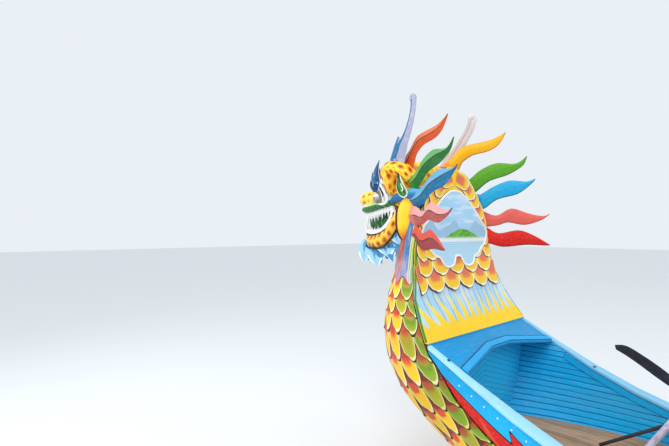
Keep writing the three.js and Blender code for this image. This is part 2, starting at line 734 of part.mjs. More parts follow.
function addStern() {
  const deckX = [TRANSOM_X + TRANSOM_THICKNESS + GAP, CABIN_REAR_X - WALL - GAP];
  const well = box([ENGINE_BOX.x[0] + ENGINE_BOX.wall, ENGINE_BOX.x[1] - ENGINE_BOX.wall],
    [-ENGINE_BOX.half + ENGINE_BOX.wall, ENGINE_BOX.half - ENGINE_BOX.wall], [0, 1000]);
  const stockBore = bar([RUDDER_X, 0, 200], [RUDDER_X, 0, 600], STOCK_BORE, STOCK_BORE, 16);
  const deck = hullFit.intersect(box(deckX, EVERYWHERE, [STERN_DECK_TOP - BOARD, STERN_DECK_TOP]));
  add("stern_deck", deck.subtract(well).subtract(stockBore), "bareWood");
  const caseX = ENGINE_BOX.x;
  const shell = box(caseX, [-ENGINE_BOX.half, ENGINE_BOX.half], [STERN_DECK_TOP + GAP, ENGINE_BOX.top]);
  const lidZ = [ENGINE_BOX.top + GAP, ENGINE_BOX.top + 25];
  const lid = box([caseX[0] - 15, caseX[1] + 5], [-ENGINE_BOX.half - 15, ENGINE_BOX.half + 15], lidZ);
  const lidTabs = LID_HINGE.places.map((y) => box([caseX[1], LID_HINGE.x], [y, y + LID_HINGE.length],
    [LID_HINGE.z - 8, LID_HINGE.z + 8]));
  const lidWithTabs = lidTabs.reduce((solid, tab) => solid.add(tab), lid);
  add("engine_lid", lidWithTabs.add(lidKnuckles(0)), "skyBlue");
  const boxTabs = LID_HINGE.places.map((y) => box([caseX[1] - 1, LID_HINGE.x],
    [y + LID_HINGE.length + GAP, y + 2 * LID_HINGE.length], [LID_HINGE.z - 60, LID_HINGE.z]));
  const lidSpace = box([-6000, caseX[1] + 5 + GAP], EVERYWHERE, [ENGINE_BOX.top, 900]);
  const straps = boxTabs.reduce((solid, tab) => solid.add(tab.subtract(lidSpace)), shell.subtract(well));
  add("engine_box", straps.add(lidKnuckles(LID_HINGE.length + GAP)), "skyBlue");
  add("engine", box(ENGINE.x, [-ENGINE.half, ENGINE.half], [BILGE_TOP + GAP, ENGINE.top]), "steel");
  addPropeller();
  addRudder();
  addTail();
}

function addPropeller() {
  const hub = bar(shaftPoint(-70), shaftPoint(50), 38, 45, 16);
  let screw = hub;
  for (let i = 0; i < 3; i += 1) {
    const blade = new THREE.BoxGeometry(PROPELLER_RADIUS - 25, 95, 9);
    blade.translate((PROPELLER_RADIUS - 25) / 2 + 25, 0, 0);
    blade.rotateX(THREE.MathUtils.degToRad(35));
    blade.rotateZ((i * 2 * Math.PI) / 3);
    blade.applyQuaternion(new THREE.Quaternion().setFromUnitVectors(new THREE.Vector3(0, 0, 1), SHAFT_AIM));
    blade.translate(...shaftPoint(-10));
    screw = screw.add(toManifold(blade));
  }
  add("propeller", screw, "bronze");
  add("propeller_shaft", bar(shaftPoint(50 + GAP), shaftPoint(780), SHAFT_RADIUS), "steel");
  const bearing = SHAFT_RADIUS + 0.8;
  const ring = bar(shaftPoint(110), shaftPoint(190), 34, 34, 16)
    .subtract(bar(shaftPoint(100), shaftPoint(200), bearing, bearing, 16));
  const insideRing = bar(shaftPoint(60), shaftPoint(300), 30, 30, 16);
  const arm = box([-5725, -5675], [-6, 6], [-240, 200]).subtract(insideRing);
  const belowHull = arm.subtract(hullVolume(-GAP, 0));
  add("shaft_strut", largest(ring.add(belowHull)), "steel");
}

function addRudder() {
  const stock = bar([RUDDER_X, 0, -380], [RUDDER_X, 0, 950], STOCK_RADIUS, STOCK_RADIUS, 16);
  const blade = box([RUDDER_X - 200, RUDDER_X + 125], [-9, 9], [-400, -20]);
  add("rudder", stock.add(blade), "steel");
  const upright = (low, high, radius) => bar([RUDDER_X, 0, low], [RUDDER_X, 0, high], radius, radius, 16);
  const head = upright(890, 950, 34).subtract(upright(800, 1000, STOCK_RADIUS + GAP));
  const arm = bar([RUDDER_X + 27, 0, 920], [RUDDER_X + 680, 0, 1000], 20, 15, 10);
  add("tiller", head.add(arm.subtract(upright(800, 1000, 28))), "darkWood");
}

const TAIL_THICKNESS = 60;

function addTail() {
  const shape = new THREE.Shape();
  shape.moveTo(TRANSOM_X - GAP, 330);
  shape.lineTo(TRANSOM_X - GAP, 845);
  shape.bezierCurveTo(-6480, 1250, -6700, 1450, -6560, 1900);
  shape.bezierCurveTo(-6640, 1820, -6700, 1900, -6990, 2150);
  shape.bezierCurveTo(-6900, 1800, -7150, 1400, -6950, 1000);
  shape.bezierCurveTo(-6850, 700, -6700, 400, TRANSOM_X - GAP, 330);
  const geometry = extruded(shape, TAIL_THICKNESS);
  geometry.translate(0, 0, -TAIL_THICKNESS / 2);
  geometry.rotateX(Math.PI / 2);
  add("dragon_tail", toManifold(geometry), "yellow");
}

addHull();
addPair("gunwale_cap", gunwaleCap(), "paleBlue");
addBow();
addHead();
addForedeck();
addCabin();
addDoors();
addBenches();
addStern();

export default boat;
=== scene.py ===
"""Painted look of a river dragon boat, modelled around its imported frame.

Metres, with +X to the bow, +Y to port and +Z up from the waterline.
"""
import math
import random

import bmesh
import bpy
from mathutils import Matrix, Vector
from mathutils.bvhtree import BVHTree


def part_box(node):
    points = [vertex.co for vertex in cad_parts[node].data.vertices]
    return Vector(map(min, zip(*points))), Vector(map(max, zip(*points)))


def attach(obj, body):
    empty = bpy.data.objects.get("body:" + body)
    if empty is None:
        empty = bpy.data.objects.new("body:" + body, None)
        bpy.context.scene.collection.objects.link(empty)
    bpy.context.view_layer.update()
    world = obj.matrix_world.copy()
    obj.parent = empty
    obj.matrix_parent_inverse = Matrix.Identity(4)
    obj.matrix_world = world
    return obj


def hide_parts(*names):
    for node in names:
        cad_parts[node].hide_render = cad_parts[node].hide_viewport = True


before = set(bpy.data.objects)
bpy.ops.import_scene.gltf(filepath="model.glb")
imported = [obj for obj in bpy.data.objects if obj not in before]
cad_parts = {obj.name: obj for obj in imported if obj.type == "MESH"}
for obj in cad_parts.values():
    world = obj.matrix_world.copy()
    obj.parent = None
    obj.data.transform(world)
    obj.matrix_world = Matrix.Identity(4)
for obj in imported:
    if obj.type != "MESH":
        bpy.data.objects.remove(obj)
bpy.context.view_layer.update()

bl_info = {
    "name": "River dragon boat",
    "version": (1, 0, 0),
    "blender": (4, 5, 0),
    "location": "View3D > Sidebar > Dragon boat",
    "description": "Models and paints the visible pieces of a river dragon boat",
    "category": "Object",
}

HULL = "hull"
SIDES = (("port", 1), ("starboard", -1))
ACROSS = (0, 1, 0)
SAW_ANGLE = math.radians(30)
BOARD_ROUND = 0.003
PLATE_DEPTH = 0.005


# Sizes and colours that a user may change

def tint(code):
    """Linear colour of a six-digit screen colour."""
    parts = [int(code[i:i + 2], 16) / 255 for i in (0, 2, 4)]
    return [p / 12.92 if p <= 0.04045 else ((p + 0.055) / 1.055) ** 2.4 for p in parts]


def colour_property(name, description, code):
    return bpy.props.FloatVectorProperty(
        name=name, description=description, subtype="COLOR", size=3, min=0, max=1, default=tint(code))


def length_property(name, description, default):
    return bpy.props.FloatProperty(name=name, description=description, unit="LENGTH", default=default)


class BoatSizes(bpy.types.PropertyGroup):
    scale_columns: bpy.props.IntProperty(
        name="Scale columns", description="Columns of scales from the stem to the side", default=7)
    scale_lift: length_property("Scale lift", "How far a scale's tip stands off the hull", 0.013)
    strip_pitch: length_property("Lining strip", "Height of one lining strip of the foredeck", 0.044)
    board_pitch: length_property("Deck board", "Width of one deck board", 0.15)
    board_gap: length_property("Board gap", "Gap between two boards", 0.005)
    edge_round: length_property("Edge rounding", "Rounding of sawn edges", 0.004)
    flame_depth: length_property("Flame depth", "Thickness of a mane flame at its ridge", 0.032)


class BoatColours(bpy.types.PropertyGroup):
    sky_blue: colour_property("Sky blue", "Lining, boards and roof", "00B2EE")
    deep_blue: colour_property("Deep blue", "Bow board and shaded blue", "0090D0")
    pale_blue: colour_property("Pale blue", "Port gunwale cap", "9EDAF8")
    # The starboard cap is given a darker blue than the port cap, as painted shade
    worn_blue: colour_property("Worn blue", "Starboard gunwale cap", "86CAEC")
    white: colour_property("White", "Cabin walls and nail heads", "EDF1F2")
    yellow: colour_property("Yellow", "Doors, lid and ridge", "FFCC04")
    orange: colour_property("Orange", "Scales and flame of the tail", "DE5218")
    red: colour_property("Red", "Flame band, door panels and eaves", "D41006")
    salmon: colour_property("Salmon", "Flame of the tail", "E4746C")
    green: colour_property("Green", "Panel edging and flame of the tail", "3C9A2E")
    wood: colour_property("Bare wood", "Deck boards", "A5866A")
    tar: colour_property("Tar", "Bottom boards", "33221C")


def sizes():
    return bpy.context.scene.boat_sizes


def hue(name, shade=1.0):
    """A palette colour, darkened or lightened by a factor."""
    return [min(part * shade, 1.0) for part in getattr(bpy.context.scene.boat_colours, name)] + [1.0]


def screen(code):
    return tint(code) + [1.0]


def lightened(colour, factor, lift=0):
    return [min(part * factor + lift, 1) for part in colour[:3]] + [1]


# Shader expressions

class Value:
    """A shader value that takes part in Python expressions."""

    def __init__(self, paint, socket):
        self.paint = paint
        self.socket = socket

    def __add__(self, other):
        return self.paint.math("ADD", self, other)

    __radd__ = __add__

    def __sub__(self, other):
        return self.paint.math("SUBTRACT", self, other)

    def __rsub__(self, other):
        return self.paint.math("SUBTRACT", other, self)

    def __mul__(self, other):
        return self.paint.math("MULTIPLY", self, other)

    __rmul__ = __mul__

    def __truediv__(self, other):
        return self.paint.math("DIVIDE", self, other)

    def __pow__(self, other):
        return self.paint.math("POWER", self, other)

    def __abs__(self):
        return self.paint.math("ABSOLUTE", self)


class Paint:
    """One procedural material, built from expressions on shader values."""

    def __init__(self, name):
        self.material = bpy.data.materials.new(name)
        self.material.use_nodes = True
        self.tree = self.material.node_tree
        self.tree.nodes.clear()
        self.shader = self.node("ShaderNodeBsdfPrincipled", Specular_IOR_Level=0.3)
        self.node("ShaderNodeOutputMaterial", Surface=self.shader.outputs["BSDF"])
        self.place = self.node("ShaderNodeTexCoord").outputs["Object"]

    def feed(self, socket, value):
        """Links a socket to a value, or sets it to a number, a colour or a screen colour's code."""
        if isinstance(value, Value):
            value = value.socket
        if isinstance(value, str):
            value = screen(value)
        if isinstance(value, bpy.types.NodeSocket):
            self.tree.links.new(value, socket)
        else:
            socket.default_value = value

    def coat(self, **sockets):
        """Sets or links sockets of the shader by name."""
        for key, value in sockets.items():
            self.feed(self.shader.inputs[key.replace("_", " ")], value)

    def node(self, kind, settings=None, stops=None, values=(), **sockets):
        """Adds a node: first its settings and ramp stops, then its sockets by place or by name."""
        node = self.tree.nodes.new(kind)
        for key, value in (settings or {}).items():
            setattr(node, key, value)
        if stops:
            ramp = node.color_ramp.elements
            while len(ramp) < len(stops):
                ramp.new(1.0)
            for element, (position, colour) in zip(ramp, stops):
                element.position = position
                element.color = colour
        for index, value in enumerate(values):
            self.feed(node.inputs[index], value)
        for key, value in sockets.items():
            self.feed(node.inputs[key.replace("_", " ")], value)
        return node

    def math(self, operation, *values):
        node = self.node("ShaderNodeMath", {"operation": operation}, values=values)
        return Value(self, node.outputs[0])

    def mix(self, factor, first, second):
        node = self.node("ShaderNodeMix", {"data_type": "RGBA"})
        for index, value in ((0, factor), (6, first), (7, second)):
            self.feed(node.inputs[index], value)
        return node.outputs[2]

    def ramp(self, value, stops):
        """Colours along a value, from pairs of a place and a screen colour."""
        stops = [(place, screen(code)) for place, code in stops]
        return self.node("ShaderNodeValToRGB", stops=stops, Fac=value).outputs["Color"]

    def step(self, value, low, high):
        """0 below low, 1 above high, and smooth between."""
        node = self.node("ShaderNodeMapRange", {"interpolation_type": "SMOOTHSTEP"},
                         Value=value, From_Min=low, From_Max=high)
        return Value(self, node.outputs["Result"])

    def patches(self, low, high, *noise):
        """Soft patches: 0 where a noise is below low and 1 above high."""
        return self.step(self.noise(*noise), low, high)

    def stretched(self, scale):
        return self.node("ShaderNodeMapping", Vector=self.place, Scale=scale).outputs["Vector"]

    def noise(self, scale, detail=3.0, stretch=(1, 1, 1), distortion=0.0):
        node = self.node("ShaderNodeTexNoise", Vector=self.stretched(stretch), Scale=scale, Detail=detail,
                         Distortion=distortion)
        return Value(self, node.outputs["Fac"])

    def cells(self, scale, stretch, randomness):
        node = self.node("ShaderNodeTexVoronoi", Vector=self.stretched(stretch), Scale=scale,
                         Randomness=randomness)
        return Value(self, node.outputs["Distance"])

    def axes(self):
        node = self.node("ShaderNodeSeparateXYZ", Vector=self.place)
        return [Value(self, node.outputs[axis]) for axis in "XYZ"]

    def mark(self, name):
        return Value(self, self.node("ShaderNodeAttribute", {"attribute_name": name}).outputs["Fac"])

    def bump(self, height, depth):
        self.coat(Normal=self.node("ShaderNodeBump", Distance=depth, Height=height).outputs["Normal"])

    def weathered(self, colour, grain=(1, 1, 1), dirt=0.25, chips=0.0, gloss=0.42, depth=0.0008):
        """Brush marks, washed-down dirt, chipped spots and uneven gloss over a colour."""
        brush = self.noise(60, 4, grain)
        blotch = self.noise(2.3, 5, (1, 1, 0.45))
        fade = self.mix(self.step(brush, 0.45, 0.8) * 0.05, colour, "FFFFFF")
        shade = self.mix(self.step(blotch, 0.54, 0.78) * dirt, fade, "5E4E40")
        if chips:
            spots = self.patches(0.71 - 0.05 * chips, 0.74 - 0.05 * chips, 52, 6)
            shade = self.mix(spots * 0.55, shade, "B9B0A2")
        self.coat(Base_Color=shade, Roughness=gloss + self.noise(9, 3) * 0.25)
        self.bump(brush + self.noise(14, 3) * 0.6, depth)
        return self.material


def plain_paint(name, colour, **finish):
    return Paint(name).weathered(colour, **finish)


def mottled_paint(name, first, second, share, patches, **finish):
    """A second colour in soft patches over a first one."""
    paint = Paint(name)
    return paint.weathered(paint.mix(paint.patches(*patches) * share, first, second), **finish)


def wood_paint(name, colour, grain=(0.08, 1, 1)):
    """Bare boards: long grain lines, worn pale patches and grey dirt."""
    paint = Paint(name)
    lines = paint.noise(70, 5, grain, 0.6)
    broad = paint.noise(9, 4, grain)
    pale = paint.mix(paint.step(broad, 0.35, 0.75), colour, lightened(colour, 1.7))
    deep = paint.mix(paint.step(lines, 0.45, 0.7) * 0.6, pale, lightened(colour, 0.45))
    dirt = paint.mix(paint.patches(0.5, 0.75, 2.5, 5) * 0.5, deep, "5A5048")
    paint.coat(Base_Color=dirt, Roughness=0.62 + broad * 0.3)
    paint.bump(lines + broad, 0.0012)
    return paint.material


def metal_paint(name, colour, roughness=0.35, rust=0.3):
    """Worn metal with brushed streaks and rust in patches."""
    paint = Paint(name)
    patch = paint.patches(0.62 - 0.2 * rust, 0.72, 11, 6)
    shade = paint.mix(patch, colour, "6A3B20")
    paint.coat(Base_Color=shade, Metallic=1 - patch * 0.9, Roughness=roughness + patch * 0.45)
    paint.bump(paint.noise(90, 4, (1, 1, 0.2)) + patch * 0.8, 0.0006)
    return paint.material


# Scale colours from the root of a scale (0) to its rim (1)
# The near-black last stop of the hull scales is a painted outline that also stands for the shadow under the
# raised edge
SCALE_STOPS = {
    "high": ((0.0, "C22A12"), (0.55, "DC3A1A"), (0.6, "F5761A"), (0.67, "FFC80A"), (0.865, "FFDC0C"),
             (0.885, "FFF6C8"), (0.925, "FFF8DC"), (0.942, "1E120A")),
    "high_edge": ((0.0, "A8321A"), (0.52, "C0522A"), (0.6, "A89C24"), (0.68, "6A9416"), (0.86, "A0B820"),
                  (0.88, "F2F3A8"), (0.922, "F5F5BC"), (0.94, "12120A")),
    "low": ((0.0, "6A0E08"), (0.5, "841408"), (0.515, "CE3A12"), (0.63, "DE4E14"), (0.66, "F6C004"),
            (0.865, "FFD20A"), (0.885, "F8EC9A"), (0.922, "F8EFAA"), (0.94, "100A06")),
    "low_edge": ((0.0, "5A0E08"), (0.48, "70180C"), (0.5, "B4481A"), (0.6, "A0621A"), (0.64, "6E9C12"),
                 (0.865, "8EB018"), (0.885, "E6E662"), (0.922, "EAEA78"), (0.94, "0E0C06")),
    "panel": ((0.0, "E06A4A"), (0.44, "EA7650"), (0.54, "F28A48"), (0.62, "FFC81A"), (0.84, "FFD60E"),
              (0.865, "FFFBE2"), (0.925, "FFFFF2"), (0.945, "6A3A18")),
}


def scale_paint(name, kinds):
    """Painted scales: rings of colour inside a pale rim and a dark outline, which on the hull scales also
    stands for painted shadow under each raised edge.
    """
    paint = Paint(name)
    rim = (abs(paint.mark("s")) ** 5 + abs(paint.mark("t")) ** 5) ** 0.2 * 0.955

    def rings(kind):
        return paint.ramp(rim, SCALE_STOPS[kind])

    if len(kinds) == 1:
        colour = rings(kinds[0])
    else:
        high, low = [paint.mix(paint.mark("green"), rings(kind), rings(f"{kind}_edge")) for kind in kinds]
        colour = paint.mix(paint.mark("low"), high, low)
    varied = paint.mix(paint.mark("shade") * 0.35, colour, paint.mix(0.5, colour, "7A2A10"))
    return paint.weathered(varied, dirt=0.12, gloss=0.3, depth=0.0006)


# Mesh tools

def spline(rows, count):
    """Points at even steps on a smooth curve through rows of numbers."""
    rows = [tuple(row) for row in rows]
    padded = [rows[0], *rows, rows[-1]]
    made = []
    for step in range(count + 1):
        at = min(step / count * (len(rows) - 1), len(rows) - 1 - 1e-9)
        i = int(at)
        t = at - i
        weights = (
            (-t + 2 * t * t - t ** 3) / 2,
            (2 - 5 * t * t + 3 * t ** 3) / 2,
            (t + 4 * t * t - 3 * t ** 3) / 2,
            (-t * t + t ** 3) / 2,
        )
        made.append([sum(w * p[k] for w, p in zip(weights, padded[i:i + 4])) for k in range(len(rows[0]))])
    return made


def mark_layer(bm, name):
    return bm.verts.layers.float.get(name) or bm.verts.layers.float.new(name)


def loft(bm, rings, marks=None):
    """Bridges a circle of vertices for each ring and closes the ends. Marks are values per vertex by name."""
    layers = {name: mark_layer(bm, name) for name in (marks or {})}
    edges = []
    for row, ring in enumerate(rings):
        made = bmesh.ops.create_circle(bm, cap_ends=False, segments=len(ring), radius=1)["verts"]
        for column, (vert, place) in enumerate(zip(made, ring)):
            vert.co = place
            for name, values in (marks or {}).items():
                vert[layers[name]] = values(row, column)
        edges.append(list({edge for vert in made for edge in vert.link_edges}))
    for first, second in zip(edges, edges[1:]):
        bmesh.ops.bridge_loops(bm, edges=first + second)
    for end in (edges[0], edges[-1]):
        bmesh.ops.holes_fill(bm, edges=end, sides=0)


def sweep(bm, rows, count=16, sides=12, up=(0, 0, 1)):
    """A round bar along a curve: rows hold x, y, z, its half depth and its half height."""
    path = spline(rows, count)
    rings = []
    for i, row in enumerate(path):
        ahead = Vector(path[min(i + 1, count)][:3]) - Vector(path[max(i - 1, 0)][:3])
        side = ahead.cross(Vector(up)).normalized()
        rise = side.cross(ahead).normalized()
        centre = Vector(row[:3])
        rings.append([
            centre + side * row[3] * math.cos(turn) + rise * row[4] * math.sin(turn)
            for turn in (2 * math.pi * j / sides for j in range(sides))
        ])
    loft(bm, rings, {
        "along": lambda row, column: row / count,
        "around": lambda row, column: math.sin(2 * math.pi * column / sides),
    })


# A blade's places across, and the share of its ridge height that its edges keep
BLADE_STEPS = (0.0, 0.12, 0.3, 0.5, 0.55, 0.6, 0.8, 0.93, 1.0)
EDGE_SHARE = 0.18


def blade(bm, lower, upper, out, depth, ridge=0.55, count=22, inner=0.5, taper=0.25):
    """A carved plate between two edge curves, ridged on the face towards out and flatter behind."""
    low = [Vector(p) for p in spline(lower, count)]
    high = [Vector(p) for p in spline(upper, count)]
    out = Vector(out).normalized()

    def height(across):
        slope = across / ridge if across < ridge else (1 - across) / (1 - ridge)
        return EDGE_SHARE + (1 - EDGE_SHARE) * slope

    faces = [(w, 1) for w in BLADE_STEPS] + [(w, -inner) for w in reversed(BLADE_STEPS[1:-1])]
    rings = []
    for i in range(count + 1):
        thick = depth * (1 - (1 - taper) * i / count)
        rings.append([
            low[i].lerp(high[i], across) + out * thick * side * height(across) for across, side in faces
        ])
    loft(bm, rings, {
        "along": lambda row, column: row / count,
        "across": lambda row, column: faces[column][0],
        "face": lambda row, column: 1.0 if faces[column][1] > 0 else 0.0,
    })


def blob(bm, centre, size, shape=None, u=20, v=12):
    """An egg: a sphere scaled about a centre, with an optional change of shape on the unit sphere."""
    made = bmesh.ops.create_uvsphere(bm, u_segments=u, v_segments=v, radius=1)["verts"]
    for vert in made:
        place = shape(vert.co.copy()) if shape else vert.co
        vert.co = Vector(centre) + Vector([place[i] * size[i] for i in range(3)])


def round_edges(bm, offset, segments=2, edges=None):
    """Bevels the given edges, or else all sharp ones."""
    if edges is None:
        inner = [edge for edge in bm.edges if len(edge.link_faces) == 2]
        edges = [edge for edge in inner if edge.calc_face_angle(0) > SAW_ANGLE]
    bmesh.ops.bevel(
        bm, geom=edges, offset=offset, offset_type="OFFSET", segments=segments,
        profile=0.5, affect="EDGES", clamp_overlap=True, material=-1)


def mirrored(rows):
    """Runs rows that end on the middle line on to the other side of the boat."""
    return rows + [(row[0], -row[1], *row[2:]) for row in reversed(rows[:-1])]


def piece(name, bm, paint, body=HULL, slot=None, replaces=(), smooth=40):
    """Makes a visible piece from a bmesh and lets it ride on a body."""
    bmesh.ops.recalc_face_normals(bm, faces=bm.faces)
    mesh = bpy.data.meshes.new(name)
    bm.to_mesh(mesh)
    bm.free()
    mesh.materials.append(paint)
    mesh.shade_smooth()
    mesh.set_sharp_from_angle(angle=math.radians(smooth))
    made = bpy.data.objects.new(name, mesh)
    bpy.context.scene.collection.objects.link(made)
    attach(made, body)
    if replaces:
        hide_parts(*replaces)


def single(name, build, paint, sign=1, **finish):
    """Makes a piece with a function that fills its bmesh, mirrored to starboard where sign is -1."""
    bm = bmesh.new()
    build(bm)
    if sign < 0:
        bmesh.ops.scale(bm, vec=(1, -1, 1), verts=bm.verts)
    piece(name, bm, paint, **finish)


def pair(name, build, paint, replaces=(), **finish):
    """Builds a port piece and its mirror image. Replaces names a node without its side."""
    for side, sign in SIDES:
        nodes = [f"{node}_{side}" for node in replaces]
        single(f"{name}_{side}", build, paint, sign, replaces=nodes, **finish)


def cad_copy(*nodes):
    """A merged bmesh of CAD nodes, with flat areas made single faces."""
    bm = bmesh.new()
    for node in nodes:
        bm.from_mesh(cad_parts[node].data)
    bmesh.ops.remove_doubles(bm, verts=bm.verts, dist=1e-5)
    bmesh.ops.dissolve_limit(bm, angle_limit=math.radians(0.5), verts=bm.verts, edges=bm.edges)
    return bm


def softened(name, node, paint, slot, body=HULL, offset=None):
    """A CAD node with its sawn edges rounded."""
    bm = cad_copy(node)
    round_edges(bm, offset or sizes().edge_round)
    piece(name, bm, paint, body, slot, (node,))


def boards(name, node, axis, pitch, paint, slot, start=None):
    """A CAD node sawn into boards across one axis, with rounded edges and a gap between."""
    half_gap = sizes().board_gap / 2
    total = bmesh.new()
    low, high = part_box(node)
    source = cad_copy(node)
    begin = low[axis] if start is None else start
    first = math.floor((low[axis] - begin) / pitch)
    last = math.ceil((high[axis] - begin) / pitch)
    for i in range(first, last):
        lane = source.copy()
        for edge, sign in ((begin + i * pitch + half_gap, -1), (begin + (i + 1) * pitch - half_gap, 1)):
            centre, normal = Vector(), Vector()
            centre[axis], normal[axis] = edge, sign
            bmesh.ops.bisect_plane(
                lane, geom=[*lane.verts, *lane.edges, *lane.faces], dist=1e-6, plane_co=centre,
                plane_no=normal, clear_outer=True)
            open_edges = [e for e in lane.edges if len(e.link_faces) == 1]
            bmesh.ops.holes_fill(lane, edges=open_edges, sides=0)
        if lane.faces:
            round_edges(lane, BOARD_ROUND, 1)
            part = bpy.data.meshes.new("lane")
            lane.to_mesh(part)
            total.from_mesh(part)
            bpy.data.meshes.remove(part)
        lane.free()
    source.free()
    piece(name, total, paint, slot=slot, replaces=(node,), smooth=30)


def block(bm, low, high, round_by):
    """A sawn block between two corners."""
    made = bmesh.ops.create_cube(bm, size=1)["verts"]
    for vert in made:
        vert.co = [low[i] + (vert.co[i] + 0.5) * (high[i] - low[i]) for i in range(3)]
    round_edges(bm, round_by, edges=list({edge for vert in made for edge in vert.link_edges}))


def plate(bm, columns, rows, place):
    """A thin plate: place moves each vertex of a grid to where it belongs."""
    bmesh.ops.create_grid(bm, x_segments=columns, y_segments=rows, size=1)
    for vert in bm.verts:
        vert.co = place(vert)
    bm.normal_update()
    bmesh.ops.solidify(bm, geom=bm.faces[:], thickness=PLATE_DEPTH)


# Surfaces of the frame, found by rays

def tree_of(*nodes):
    bm = bmesh.new()
    for node in nodes:
        bm.from_mesh(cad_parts[node].data)
    tree = BVHTree.FromBMesh(bm)
    bm.free()
    return tree


SKIN_NODES = ["neck", "bow_stem", "hull_bottom", "transom"] + [
    f"hull_side_{part}_{side}" for part in ("bow", "main", "stern") for side, _ in SIDES]
SKIN = tree_of(*SKIN_NODES)
PANEL = tree_of("neck_panel")


def sheer_rows():
    """Top outer edge of the port cap: its stations as x, half width, height."""
    stations = {}
    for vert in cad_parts["gunwale_cap_port"].data.vertices:
        stations.setdefault(round(vert.co.x, 3), []).append(vert.co)
    return [(x, max(p.y for p in row), max(p.z for p in row)) for x, row in sorted(stations.items())]


SHEER = sheer_rows()


def read_rows(rows, place, column):
    """Reads one column of rows at a place in the first column, on straight lines between rows."""
    if place <= rows[0][0]:
        return rows[0][column]
    for first, second in zip(rows, rows[1:]):
        if place <= second[0]:
            share = (place - first[0]) / (second[0] - first[0])
            return first[column] + (second[column] - first[column]) * share
    return rows[-1][column]


def smooth_share(value, low, high):
    share = min(max((value - low) / (high - low), 0), 1)
    return share * share * (3 - 2 * share)


def sheer(x):
    return read_rows(SHEER, x, 2)


def hit(tree, start, direction):
    place, normal, _, _ = tree.ray_cast(Vector(start), Vector(direction).normalized())
    return place, normal


# Depth of the painted bands below the sheer at places along the boat
BAND_ROWS = [
    (-6.5, 0.3), (3.4, 0.3), (4.0, 0.28), (4.44, 0.245), (4.63, 0.215), (4.77, 0.165), (4.85, 0.1),
    (4.91, 0.05), (5.0, 0.0),
]
CAP_DEPTH = 0.034
NECK_TOP = 2.3
PANEL_BOTTOM = 1.3
# The courses turn from level to upright below this height and fore of this place
FAN_TOP = 1.6
FAN_END = 3.9


def band_depth(x):
    return read_rows(BAND_ROWS, x, 1)


def panel_back(z):
    place, _ = hit(PANEL, (3, 0.01, z), (1, 0, 0))
    return place.x


class Courses:
    """Cross-sections of the neck and the hull, which the rows of scales follow from the neck to the stern."""

    step = 0.05
    rays = 36
    fewest_hits = 8
    widest_ray = 88.5
    panel_gap = 0.014
    cap_cover = 0.03
    bow_end = 4.99
    stern_end = -6.49

    def __init__(self):
        self.lines = []
        path = []
        z = NECK_TOP
        while z > PANEL_BOTTOM + 0.01:
            path.append((panel_back(z) + self.panel_gap, z))
            z -= self.step
        x = self.bow_end
        while x > self.stern_end:
            path.append((x, sheer(x) - self.cap_cover - band_depth(x)))
            x -= self.step * (0.9 if x > FAN_END else 1.0)
        turning = [i for i, (x, z) in enumerate(path) if z < FAN_TOP and x > FAN_END]
        for i, (x, z) in enumerate(path):
            angle = math.pi / 2 * smooth_share(i, turning[0], turning[-1])
            line = self.section((x, 0, z), (math.cos(angle), 0, -math.sin(angle)))
            if line:
                self.lines.append(line)

    def section(self, centre, forward):
        """Points with normals at even distances, from the middle line (0) to the port edge (1)."""
        centre = Vector(centre)
        found = []
        for i in range(self.rays + 1):
            turn = math.radians(self.widest_ray) * i / self.rays
            aim = Vector(forward) * math.cos(turn) + Vector(ACROSS) * math.sin(turn)
            place, normal = hit(SKIN, centre + aim * 3, -aim)
            if place is None or (place - centre).dot(aim) < 0:
                continue
            found.append((place, normal))
        if len(found) < self.fewest_hits:
            return None
        found[0] = (Vector((found[0][0].x, 0, found[0][0].z)), found[0][1])
        lengths = [0.0]
        for (a, _), (b, _) in zip(found, found[1:]):
            lengths.append(lengths[-1] + (b - a).length)
        line = []
        spot = 0
        for i in range(self.rays + 1):
            want = lengths[-1] * i / self.rays
            while spot < len(found) - 2 and lengths[spot + 1] < want:
                spot += 1
            span = max(lengths[spot + 1] - lengths[spot], 1e-9)
            share = (want - lengths[spot]) / span
            line.append((
                found[spot][0].lerp(found[spot + 1][0], share),
                found[spot][1].lerp(found[spot + 1][1], share).normalized(),
            ))
        return line

    def at(self, across, along):
        """Place and normal at a share across (-1 to 1) and a distance along in steps."""
        side = 1 if across >= 0 else -1
        row = min(max(along, 0), len(self.lines) - 1.001)
        column = min(abs(across), 1) * (self.rays - 1e-6)
        i, j = int(row), int(column)
        u, v = row - i, column - j

        def blend(kind):
            first = self.lines[i][j][kind].lerp(self.lines[i][j + 1][kind], v)
            second = self.lines[i + 1][j][kind].lerp(self.lines[i + 1][j + 1][kind], v)
            return first.lerp(second, u)

        place, normal = blend(0), blend(1).normalized()
        return Vector((place.x, side * place.y, place.z)), Vector((normal.x, side * normal.y, normal.z))


COURSES = Courses()


# Scales

# A scale's rim stands out past its face by these factors and turns down to its back
RIM_OUT = (1.03, 1.02)
RIM_MARK = 1.05
RIM_FALL = (0.55, -0.25)
SCALE_GAP = 0.003
# Scales overlap their neighbours, so half a scale is more than half its share of the width
HALF_SCALE = 0.52


